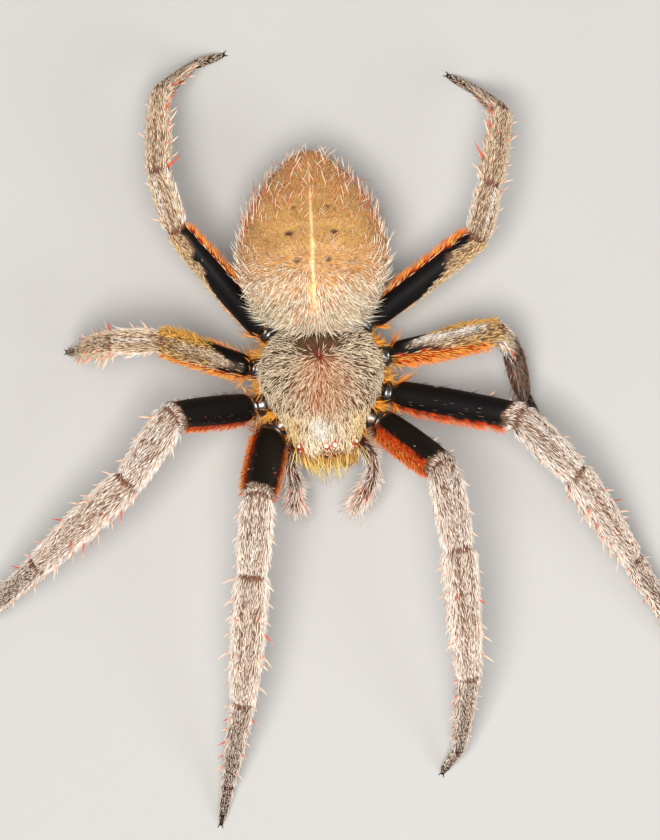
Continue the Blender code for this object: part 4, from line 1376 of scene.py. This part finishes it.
# %% Relief of the carapace
x, y = grid[..., 0] - CHEST[0], grid[..., 1] - CHEST[1]
top = ramp(outward(grid)[..., 2], 0.05, 0.35)
star = np.max([branch(x, y, ends, 0.065) for ends in STAR], axis=0) * top
pit = np.exp(-((x / 0.35) ** 2 + ((y - FOVEA_BACK) / 0.3) ** 2)) * top
groove = np.max([branch(x, y, ends, 0.4) for ends in HEAD_GROOVE], axis=0) * top
hollow = np.exp(-((x / 1.5) ** 4 + ((y - 2.3) / 0.78) ** 4)) * top
RAYS, STREAKS = 9, 31     # waves of the shield, and streaks of the hollow, round the fovea
rays = 0.5 + 0.5 * np.cos(np.arctan2(x, y - FOVEA_BACK) * RAYS)
near_eye, near_front = to_eyes(grid), to_eyes(grid, ("median_front",))
near_others = to_eyes(grid, ("median_rear", "lateral_rear", "lateral_front"))
near_sides = to_eyes(grid, ("lateral_rear", "lateral_front"))
socket = bump_at(near_eye, 1.28, 0.22)
push = 0.13 * socket - 0.12 * pit - 0.04 * star - 0.12 * groove - 0.12 * hollow
from_fovea = np.hypot(x, y - FOVEA_BACK)
push = push - 0.045 * rays * top * ramp(from_fovea, 1.2, 2.4) * ramp(y, -2.4, -0.5)
grid = grid + outward(grid) * push[..., None]
print("carapace skin in mm:", grid.min(axis=(0, 1)).round(1), grid.max(axis=(0, 1)).round(1))

# %% Colours of the carapace
UMBER, CHESTNUT, SLATE = colour(74, 52, 36), colour(136, 70, 34), colour(104, 74, 52)
WINE, EYE_RED, HONEY = colour(86, 18, 12), colour(206, 74, 34), colour(254, 222, 144)
STAR_RED, HEAD_BROWN = colour(104, 34, 22), colour(132, 80, 46)
GREY_CREAM, PINK_CREAM, WHITE_CREAM = colour(250, 230, 198), colour(255, 230, 192), colour(255, 248, 222)
CLYPEUS_TIP, CLYPEUS_ROOT = colour(212, 150, 60), colour(112, 64, 20)
ROSY_ROOT, HEAD_ROOT, HONEY_ROOT = colour(224, 146, 92), colour(250, 222, 172), colour(250, 214, 146)
SHEEN_WHITE = colour(255, 252, 244)
SHIELD_PER_MM2 = 64

# %% Masks of the head
head = ramp(-y, 2.2, 3.6)
# painted highlight: a white sheen painted into the hair on the crown; the same patch also makes the crown
# glossier and more thickly haired
crown_sheen = np.exp(-((x + 0.45) / 0.7) ** 2 - ((y + 3.6) / 0.7) ** 2)
centre = np.exp(-(x / 1.5) ** 2) * ramp(1.6 - y, 0, 1.2)
clypeus = ramp(-y, 5.2, 5.5)
flank = head * ramp(abs(x), 1.7, 1.95) * ramp(-y, 4.3, 4.7)
front_rim = bump_at(near_front, 0.9, 0.6)
red_rim = np.maximum(bump_at(near_others, 0.9, 0.5), bump_at(near_sides, 0.9, 0.85))
parting = 1.6 * np.maximum(bump_at(near_others, 0.9, 0.6), bump_at(near_sides, 0.9, 0.95))
parting = parting + 0.5 * bump_at(near_front, 0.8, 0.25) + flank
print("share of the carapace that is head:", round(float(head.mean()), 2))

# %% Carapace colours and coat
def shield_colour(x, y):
    """Brown shell with a dark star, a streaked hollow behind it and red rims round the eyes."""
    ground = mixed(UMBER, CHESTNUT, np.clip(centre + 0.4 * groove, 0, 1))
    streaks = 0.5 + 0.5 * np.cos(np.arctan2(x, y - FOVEA_BACK) * STREAKS + 2 * np.sin(x * 5))
    ground = mixed(ground, mixed(SLATE, UMBER, 0.9 * streaks), hollow)
    ground = mixed(ground, STAR_RED, np.clip(0.85 * star + pit, 0, 1))
    ground = mixed(mixed(ground, HEAD_BROWN, 0.8 * head * (1 - flank)), WINE, flank)
    return mixed(mixed(ground, WINE, front_rim), EYE_RED, np.clip(1.3 * red_rim, 0, 1))


def shield_hair_colours(x):
    """Greyish cream at the sides, pinker in the middle, golden at the brow, with a painted white sheen on
    the crown.
    """
    golden = head * ramp(abs(x), 1.45, 2.05)
    tip = mixed(mixed(GREY_CREAM, PINK_CREAM, centre), WHITE_CREAM, head * centre)
    tip = mixed(mixed(tip, HONEY, golden * 0.6), CLYPEUS_TIP, 0.9 * clypeus)
    rosy = np.clip(0.5 * centre * (1 - head), 0, 1)
    root = mixed(mixed(tip, UMBER, 0.3 - 0.2 * head), ROSY_ROOT, rosy)
    root = mixed(root, HEAD_ROOT, 0.75 * head)
    root = mixed(mixed(root, HONEY_ROOT, golden * 0.8), CLYPEUS_ROOT, 0.9 * clypeus)
    # the painted white sheen of the crown goes into both ends of each hair
    return (mixed(paint_of_hair, SHEEN_WHITE, crown_sheen) for paint_of_hair in (root, tip))


def carapace_look(x, y):
    """Everything that the carapace's skin stores."""
    bare = np.clip(1.25 * red_rim + front_rim + flank, 0, 1)
    away = unit(np.stack((x, y - FOVEA_BACK, 0 * x), axis=-1))
    forward = head[..., None] * np.array((0, -3.0, 0)) - (head * x * 0.35)[..., None] * LEFT
    aside = 0.5 * (head * np.sign(x) * ramp(abs(x), 1.4, 2.0))[..., None] * LEFT
    cover = (1 - np.clip(hollow * 1.6 + 0.7 * pit + parting, 0, 1)) * (0.25 + 0.75 * top)
    root, tip = shield_hair_colours(x)
    return {
        "ground": shield_colour(x, y),
        "gloss": np.clip(0.05 + 0.75 * hollow + 0.6 * bare + 0.1 * pit + 0.8 * crown_sheen, 0, 0.95),
        "density": (SHIELD_PER_MM2 + 12 * centre + 34 * crown_sheen + 14 * clypeus) * cover,
        "length": (0.58 + 0.2 * head + 0.12 * centre) * (1 - 0.5 * bump_at(near_eye, 1.5, 2.0)),
        "thick": 0.047 + 0.014 * head,
        "lift": 0.34 + 0.08 * head + 0.12 * centre,
        "lie": away + forward + aside + 1e-3,
        "root_colour": root,
        "tip_colour": tip,
    }


carapace = skin_object("carapace_skin", grid, carapace_look(x, y), SHIELD)
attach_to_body(carapace, SPIDER_BODY)
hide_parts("carapace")
coat("carapace_coat", carapace, LONG_HAIR, seed=53, unruly=0.36, curl=1.0)

# %% [markdown]
# Long golden bristles hang from the clypeus, the brow over the jaws, and lean in to the middle.

# %% Brow bristles
BROW_ROOT, BROW_TIP, BROW_PER_MM2 = colour(206, 140, 46), colour(255, 226, 142), 14
edge = 4.92 - 0.32 * ramp(abs(x), 1.0, 2.0)
brow = ramp(-y - edge, 0, 0.4) * ramp(near_others, 1.3, 1.8)
restore(
    carapace.data,
    density=BROW_PER_MM2 * brow * ramp(outward(grid)[..., 2], -0.85, -0.3),
    length=2.1,
    thick=0.07,
    lift=0.55,
    lie=FORWARD * 1.3 + np.array((0, 0, -0.3)) - (x * 0.12)[..., None] * LEFT,
    root_colour=BROW_ROOT,
    tip_colour=BROW_TIP,
)
coat("brow_bristles", carapace, LONG_HAIR, seed=59, unruly=0.24, curl=0.4)

# %% [markdown]
# ## Eyes
#
# Orb weavers see little. Each eye is a single lens, dark and very glossy, set deep in a red-brown
# rim. All but the front middle pair have a mirror behind the retina, which shines pale through the
# lens when light comes from the viewer's side. That shine is painted on those lenses as a pale disc
# turned mostly upwards, a painted reflection. A second stored value, the iris, lets the red of the
# rim show round the edge of the lens.

# %% Eyes
LENS_BLACK, LENS_RED, CLOUD_SCALE = (0.010, 0.005, 0.004, 1), (0.06, 0.014, 0.007, 1), 2500.0


def eye_finish():
    lacquer = {"Coat_Weight": 1.0, "Coat_Roughness": 0.12, "Coat_IOR": 1.7}
    material, wire, shader = new_material("eye_lens", rough=0.3, **lacquer)
    place = wire.node("ShaderNodeTexCoord", output=3)
    depth = wire.node("ShaderNodeTexNoise", None, {"Vector": place, "Scale": CLOUD_SCALE})
    lens = depth.between(0.35, 0.7).mix(LENS_BLACK, LENS_RED)
    lens = carried(wire, "iris", 2).mix(lens, tuple(EYE_RED * 0.8))
    # painted reflection: where the stored eyeshine disc lies, the lens is painted cream
    attach(carried(wire, "mirror", 2).mix(lens, tuple(CREAM)), shader, "Base Color")
    return material


EYE_LENS = eye_finish()
HEAD_MIDDLE = CHEST + (0.0, -4.3, 7.0)
EYESHINE_TURN = np.array((0.0, 0.0, 1.5))      # the painted eyeshine faces up more than the lenses do
EYESHINE_SHARES = dict(zip(EYE_KINDS, (1.0, 0.0, 0.8, 0.15)))
IRIS_SHARES = dict(zip(EYE_KINDS, (1.0, 0.3, 0.5, 0.4)))


def ball_grid(place, radius, rows=22, columns=28):
    heights = np.linspace(0.07, np.pi - 0.07, rows)[:, None, None]
    turns = np.arange(columns) * 2 * np.pi / columns
    ring = np.stack((np.cos(turns), np.sin(turns), 0 * turns), axis=-1)
    return place + radius * (np.sin(heights) * ring + np.cos(heights) * (0, 0, 1))


for kind in EYE_KINDS:
    for side in SIDES:
        node = f"eye_{kind}_{side}"
        place, radius = EYES[kind, side]
        points, faces, _ = closed_tube(ball_grid(place, radius))
        lens = mesh_object(f"{kind}_{side}_lens", points, faces, EYE_LENS)
        look_way = unit(place - HEAD_MIDDLE)
        seen = unit(points - place)
        add_values(lens.data, "iris", IRIS_SHARES[kind] * ramp(-seen @ look_way, -0.88, -0.72))
        # the pale disc of painted eyeshine
        mirror = ramp(seen @ unit(look_way + EYESHINE_TURN), 0.6, 0.85)
        add_values(lens.data, "mirror", EYESHINE_SHARES[kind] * mirror)
        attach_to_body(lens, SPIDER_BODY)
        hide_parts(node)
print("eyes:", len(EYES))

# %% [markdown]
# ## Jaws, fangs and palps
#
# The chelicerae are two stout glossy columns below the eyes, each with a fang folded in at its end.
# The palps beside them are short feeling legs with a fur coat like the real legs'. The jaws and the
# palps are sliced from their own solids as before. The fangs are horns.

# %% Jaws and fangs
DOWNWARD = np.array((0.0, 0.0, -1.0))
JAW_ROWS, JAW_COLUMNS, JAW_DEPTH = 44, 36, 0.04
JAW_RED, JAW_BLACK, FANG_BLACK = colour(70, 24, 14), colour(24, 12, 10), colour(20, 10, 9)
BEARD_ROOT, BEARD_TIP, BEARD_PER_MM2 = colour(214, 130, 48), colour(255, 212, 112), 52
FANG_ROWS, FANG_ROOT, FANG_TIP = 22, 0.25, 0.06


def jaw_grid(node):
    """The skin of a jaw, how far down each row is, and the turn of each column."""
    low, high = box_of(node)
    origin = np.array(((low[0] + high[0]) / 2, (low[1] + high[1]) / 2, high[2]))
    share = np.linspace(0.02, 0.98, JAW_ROWS)
    ends, ways = (origin, origin + DOWNWARD * (high[2] - low[2])), (DOWNWARD, DOWNWARD)
    parts = stack_of_slices(node, *ends, ways, LEFT, share, JAW_COLUMNS)
    middles, sides, ups, reaches, turns = parts
    reaches = eased(rounded(filled(reaches, 2, 1), 5), 3) - JAW_DEPTH
    end_round = np.minimum(1, ((1 - share) / 0.12 + 0.05)) ** 0.5
    return ring_grid(eased(middles, 2), sides, ups, reaches * end_round[:, None], turns), share, turns


def jaw_look(share, turns):
    """Glossy dark chitin with a golden beard down its front."""
    down, front = share[:, None], ramp(np.sin(turns)[None], -0.2, 0.7)
    return {
        "ground": mixed(JAW_RED, JAW_BLACK, ramp(down, 0.35, 0.9)),
        "gloss": 0.85,
        "density": BEARD_PER_MM2 * front * ramp(0.75 - down, 0.0, 0.4) + 3,
        "length": 0.8,
        "thick": 0.068,
        "lift": 0.6,
        "lie": FORWARD * 0.35 + DOWNWARD,
        "root_colour": BEARD_ROOT,
        "tip_colour": BEARD_TIP,
    }


def fang_path(node, mirror):
    """From the outer side of the jaw's end, down and then in to the middle."""
    low, high = box_of(node)
    outer, inner = (high[0], low[0]) if mirror > 0 else (low[0], high[0])
    middle = (low + high) / 2
    root = np.array((outer - mirror * 0.28, middle[1] + 0.02, high[2] + 0.35))
    bend = np.array((outer - mirror * 0.12, low[1] + 0.12, low[2] - 0.1))
    tip = np.array((inner + mirror * 0.04, middle[1] + 0.1, middle[2] - 0.02))
    return curved((root, bend, tip), FANG_ROWS), root


for side, mirror in SIDES.items():
    node = f"chelicera_{side}"
    grid, share, turns = jaw_grid(node)
    jaw = skin_object(f"jaw_{side}_skin", grid, jaw_look(share, turns), JAW_SHELL)
    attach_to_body(jaw, SPIDER_BODY)
    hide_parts(node)
    coat(f"jaw_{side}_coat", jaw, LONG_HAIR, seed=61, unruly=0.25, curl=0.6)

    node = f"fang_{side}"
    path, root = fang_path(node, mirror)
    points, faces, _ = closed_tube(swept(path, tapered(FANG_ROOT, FANG_TIP, FANG_ROWS), 18))
    fang = mesh_object(f"fang_{side}_horn", points, faces, horn_finish)
    paint(fang, mixed(FANG_BLACK, WINE, ramp(np.linalg.norm(points - root, axis=1), 1.0, 0.2)), 1.0)
    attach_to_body(fang, SPIDER_BODY)
    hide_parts(node)

# %% Shape of a palp
PALP_JOINTS = (0.30, 0.80)       # where the femur and the patella end on a palp's inner half
PALP_TARSUS = 0.45               # where the tarsus starts on its outer half
PALP_ROWS, PALP_COLUMNS = 24, 24         # rows on each half
PALP_DEPTH, PALP_PINCH = 0.04, 0.14


def palp_pinch(share, half):
    """Where a palp narrows: at its joints and at the cut between its halves."""
    inner = bump_at(share, PALP_JOINTS[0], 0.06) + bump_at(share, PALP_JOINTS[1], 0.05)
    inner = inner + bump_at(share, 1.0, 0.05)
    outer = bump_at(share, 0, 0.05) + bump_at(share, PALP_TARSUS, 0.07)
    return np.where(half == 0, inner, outer)


def palp_grid(names):
    """The skin of a palp, and for every row its pinch, its share of a half, and which half."""
    middle, way = joint_between(*names)
    root, tip = far_end(names[0], middle), far_end(names[1], middle)
    first, last = unit(middle - root), unit(tip - middle)
    parts = []
    for name, ends, ways, span in (
        (names[0], (root, middle), (first, way), (0.04, 0.985)),
        (names[1], (middle, tip), (way, last), (0.02, 0.97)),
    ):
        share = np.linspace(*span, PALP_ROWS)
        found = stack_of_slices(name, *ends, ways, np.cross((0, 0, 1), first), share, PALP_COLUMNS)
        parts.append((*found[:4], share))
        turns = found[4]
    middles, sides, ups, reaches, share = (np.concatenate([p[i] for p in parts]) for i in range(5))
    half = np.repeat((0, 1), PALP_ROWS)
    pinch = palp_pinch(share, half)
    reaches = eased(rounded(reaches, 2), 3) * (1 - PALP_PINCH * pinch)[:, None] - PALP_DEPTH
    grid = ring_grid(eased(middles, 3), unit(eased(sides, 4)), unit(eased(ups, 4)), reaches, turns)
    return eased(grid, 2), pinch[:, None], share[:, None], half[:, None]

# %% Palps
PALP_BROWN, PALP_FUR_PER_MM2 = colour(76, 52, 40), 52
PALP_BRISTLES, PALP_BRISTLE_ROOT, PALP_BRISTLE_TIP = 44, colour(222, 92, 60), colour(255, 226, 206)


def palp_look(grid, pinch, share, half):
    """A bare brown root and then cream fur, ruffled towards the tip."""
    out_share = half * 0.5 + share * 0.5
    fur = ramp(out_share, 0.1, 0.2)
    along, round_it = flows(grid)
    return {
        "ground": mixed(mixed(COXA_BROWN, PALP_BROWN, fur), JOINT_RED, pinch * 0.7),
        "gloss": 1 - fur * 0.95,
        "density": (6 + PALP_FUR_PER_MM2 * fur) * (1 - 0.55 * pinch),
        "length": 0.62 + 0.32 * out_share,
        "thick": 0.05,
        "lift": 0.56 + 0.28 * half,
        "lie": along + 0.1 * round_it,
        "root_colour": mixed(CREAM_ROOT, FLAME_ROOT, (1 - fur) * 0.8),
        "tip_colour": mixed(CREAM, FLAME, (1 - fur) * 0.8),
    }


def palp_bristle_roots(grid, luck):
    """Long bristles at random places on the outer part of a palp."""
    rows = luck.integers(len(grid) * 5 // 8, len(grid) - 1, PALP_BRISTLES)
    columns = luck.integers(0, PALP_COLUMNS, PALP_BRISTLES)
    u, v = unrolled(grid)
    return {
        "place": grid[rows, columns],
        "facing": outward(grid)[rows, columns],
        "lie": flows(grid)[0][rows, columns],
        "lift": luck.uniform(0.6, 1.0, PALP_BRISTLES),
        "length": luck.uniform(1.0, 1.5, PALP_BRISTLES),
        "thick": 0.075,
        "unroll": np.stack((u[columns], v[rows], 0 * v[rows]), axis=-1),
        "root_colour": PALP_BRISTLE_ROOT,
        "tip_colour": PALP_BRISTLE_TIP,
    }


for number, side in enumerate(SIDES):
    names = [f"palp_{side}_{part}" for part in ("base", "tip")]
    grid, *rows = palp_grid(names)
    palp = skin_object(f"palp_{side}_skin", grid, palp_look(grid, *rows), LEG_SHELL)
    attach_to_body(palp, SPIDER_BODY)
    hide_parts(*names)
    coat(f"palp_{side}_coat", palp, FLAT_SETA, seed=71 + number, unruly=0.34)
    bristles = palp_bristle_roots(grid, np.random.default_rng(83 + number))
    planted_hairs(f"palp_{side}_bristles", bristles, LONG_HAIR, seed=85, unruly=0.2,
                  curl=0.6)

# %% [markdown]
# ## Sternum and spinnerets
#
# Underneath, a dark heart-shaped shield, the sternum, fills the space between the coxae. At the far
# end of the belly a short tube carries six spinnerets, jointed fingers that draw out the silk.
# A guard of stiff hairs keeps grit off both.

# %% Sternum
STERNUM_ROWS, STERNUM_COLUMNS, STERNUM_DEPTH, STERNUM_PER_MM2 = 46, 48, 0.03, 14
STERNUM_DARK, STERNUM_PALE = colour(40, 22, 16), colour(96, 60, 30)
grid = body_grid("sternum", CHEST, FORWARD, LEFT, STERNUM_ROWS, STERNUM_COLUMNS,
                 waves=8, depth=STERNUM_DEPTH, fill=(3, 2), easing=3)
sternum_look = {
    "ground": mixed(STERNUM_DARK, STERNUM_PALE, 0.5 * bump_at(grid[..., 0], CHEST[0], 0.4)),
    "gloss": 0.7,
    "density": STERNUM_PER_MM2 * ramp(-outward(grid)[..., 2], 0.1, 0.6),
    "length": 0.6,
    "thick": 0.05,
    "lift": 0.6,
    "lie": -FORWARD,
    "root_colour": colour(150, 100, 60),
    "tip_colour": colour(240, 220, 180),
}
sternum = skin_object("sternum_skin", grid, sternum_look, SHIELD)
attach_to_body(sternum, SPIDER_BODY)
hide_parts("sternum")
coat("sternum_hair", sternum, DOWN_HAIR, seed=91, unruly=0.3, curl=0.5)

# %% Spinnerets
low, high = box_of("spinnerets")
TUBE = np.array(((low[0] + high[0]) / 2, (low[1] + high[1]) / 2, high[2]))
SPINNERET_HEIGHT = high[2] - low[2]
TUBE_LENGTH, TUBE_WIDTH, TUBE_TAPER = 0.85, 0.82, 0.12
FINGERS = (              # across, along, radius, how far down its tip reaches (share of the height)
    (0.40, -0.34, 0.29, 1.0),
    (0.27, 0.05, 0.16, 0.72),
    (0.38, 0.42, 0.27, 0.95),
)
FINGER_ROWS, FINGER_COLUMNS = 16, 16
SILK_BROWN, SILK_DARK = colour(108, 60, 38), colour(54, 26, 18)


def finger_grid(across, back, radius, reach, mirror):
    """One spinneret: out of the tube, bending a little as it tapers."""
    start = TUBE + (across * mirror, back, -0.6)
    end = TUBE + (across * mirror * 0.85, back * 1.2, 0.04 - SPINNERET_HEIGHT * reach)
    bend = (start + end) / 2 + (0.06 * mirror, 0.05, 0)
    path = curved((start, bend, end), FINGER_ROWS)
    return swept(path, tapered(radius, radius * 0.55, FINGER_ROWS), FINGER_COLUMNS)


heights = np.linspace(0, 1, 12)[:, None]
tube = swept(TUBE + heights * (0, 0, -TUBE_LENGTH), TUBE_WIDTH - TUBE_TAPER * heights[:, 0], 32)
fingers = [finger_grid(*finger, mirror) for finger in FINGERS for mirror in SIDES.values()]
spinnerets = joined_tubes("spinneret_skin", [tube, *fingers], SHIELD)
places = np.array([vertex.co for vertex in spinnerets.data.vertices]) / MM
down = (TUBE[2] - places[:, 2]) / SPINNERET_HEIGHT
paint(spinnerets, mixed(SILK_BROWN, SILK_DARK, ramp(down, 0.3, 0.9)), 0.35)
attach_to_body(spinnerets, SPIDER_BODY)
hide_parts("spinnerets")
print("spinnerets:", len(fingers), "height in mm:", round(SPINNERET_HEIGHT, 2))

# %% Hairs that guard the spinnerets
GUARD_HAIRS = 34
luck = np.random.default_rng(97)
guard = {key: [] for key in ("place", "facing", "lie", "unroll")}
for number, finger in enumerate(fingers):
    out, along = outward(finger), flows(finger)[0]
    u, v = unrolled(finger)
    for _ in range(GUARD_HAIRS):
        row, column = luck.integers(3, FINGER_ROWS - 1), luck.integers(0, FINGER_COLUMNS)
        guard["place"].append(finger[row, column])
        guard["facing"].append(out[row, column])
        guard["lie"].append(along[row, column])
        guard["unroll"].append(((number + u[column]) / LANES, v[row], 0))
guard["length"], guard["thick"], guard["lift"] = 0.42, 0.045, 0.7
guard["root_colour"], guard["tip_colour"] = colour(160, 96, 56), colour(250, 226, 186)
planted_hairs("spinneret_hair", guard, LONG_HAIR, seed=99, unruly=0.25, curl=0.5)

# %% [markdown]
# ## Floor, light and camera
#
# The spider stands on a plain pale floor. One broad lamp close to the camera lights its back from
# the viewer's side, so the hairs shine and the lacquer of the femora keeps a highlight. A weaker
# lamp at one side and a soft sky fill the shadows.

# %% Floor
FLOOR_HALF = 600.0
FLOOR_GREY, FLOOR_PALE = (0.455, 0.445, 0.43, 1), (0.465, 0.455, 0.44, 1)


def floor_finish():
    material, wire, shader = new_material("studio_floor", rough=0.8)
    place = wire.node("ShaderNodeTexCoord", output=3)
    cloud = wire.node("ShaderNodeTexNoise", None, {"Vector": place, "Scale": 30.0, "Detail": 2.0})
    pale = cloud.between(0.3, 0.7).mix(FLOOR_GREY, FLOOR_PALE)
    attach(pale, shader, "Base Color")
    return material


corners = [(x * FLOOR_HALF, y * FLOOR_HALF, 0) for x, y in ((-1, -1), (1, -1), (1, 1), (-1, 1))]
floor = mesh_object("studio_floor", corners, [(0, 1, 2, 3)], floor_finish())

# %% Lamps and sky
SPIDER_MIDDLE = (0, 0, 6)
SKY, SKY_STRENGTH = (0.9, 0.94, 1.0, 1), 0.22


def lamp(name, place, target, size, power, tint):
    light = bpy.data.lights.new(name, "AREA")
    light.size, light.energy, light.color = size * MM, power, tint
    thing = bpy.data.objects.new(name, light)
    bpy.context.collection.objects.link(thing)
    thing.location = Vector(place) * MM
    thing.rotation_euler = (Vector(target) - Vector(place)).to_track_quat("-Z", "Y").to_euler()
    return thing


lamp("key", (-20, -25, 335), SPIDER_MIDDLE, size=130, power=1.5, tint=(1.0, 0.97, 0.93))
lamp("fill", (150, -120, 200), SPIDER_MIDDLE, size=150, power=0.22, tint=(0.94, 0.97, 1.0))
world = bpy.data.worlds.new("studio")
bpy.context.scene.world = world
world.use_nodes = True
world.node_tree.nodes["Background"].inputs["Color"].default_value = SKY
world.node_tree.nodes["Background"].inputs["Strength"].default_value = SKY_STRENGTH
bpy.context.scene.view_settings.view_transform = "Standard"

# %% Camera
CAMERA_PLACE = Vector((1.16, 0.587, 305.5)) * MM
CAMERA_ROLL = math.radians(-5.5)
LENS_LENGTH, SENSOR_WIDTH = 189.1, 36.0      # millimetres
camera = bpy.data.objects.new("camera", bpy.data.cameras.new("camera"))
bpy.context.collection.objects.link(camera)
camera.location = CAMERA_PLACE
camera.rotation_euler = (0, 0, CAMERA_ROLL)
camera.data.sensor_width = SENSOR_WIDTH
camera.data.lens = LENS_LENGTH
camera.data.clip_start = 0.01
bpy.context.scene.camera = camera

# %% Finish
for shape in (FLAT_SETA, DOWN_HAIR, LONG_HAIR, SPINE):
    bpy.data.objects.remove(shape)
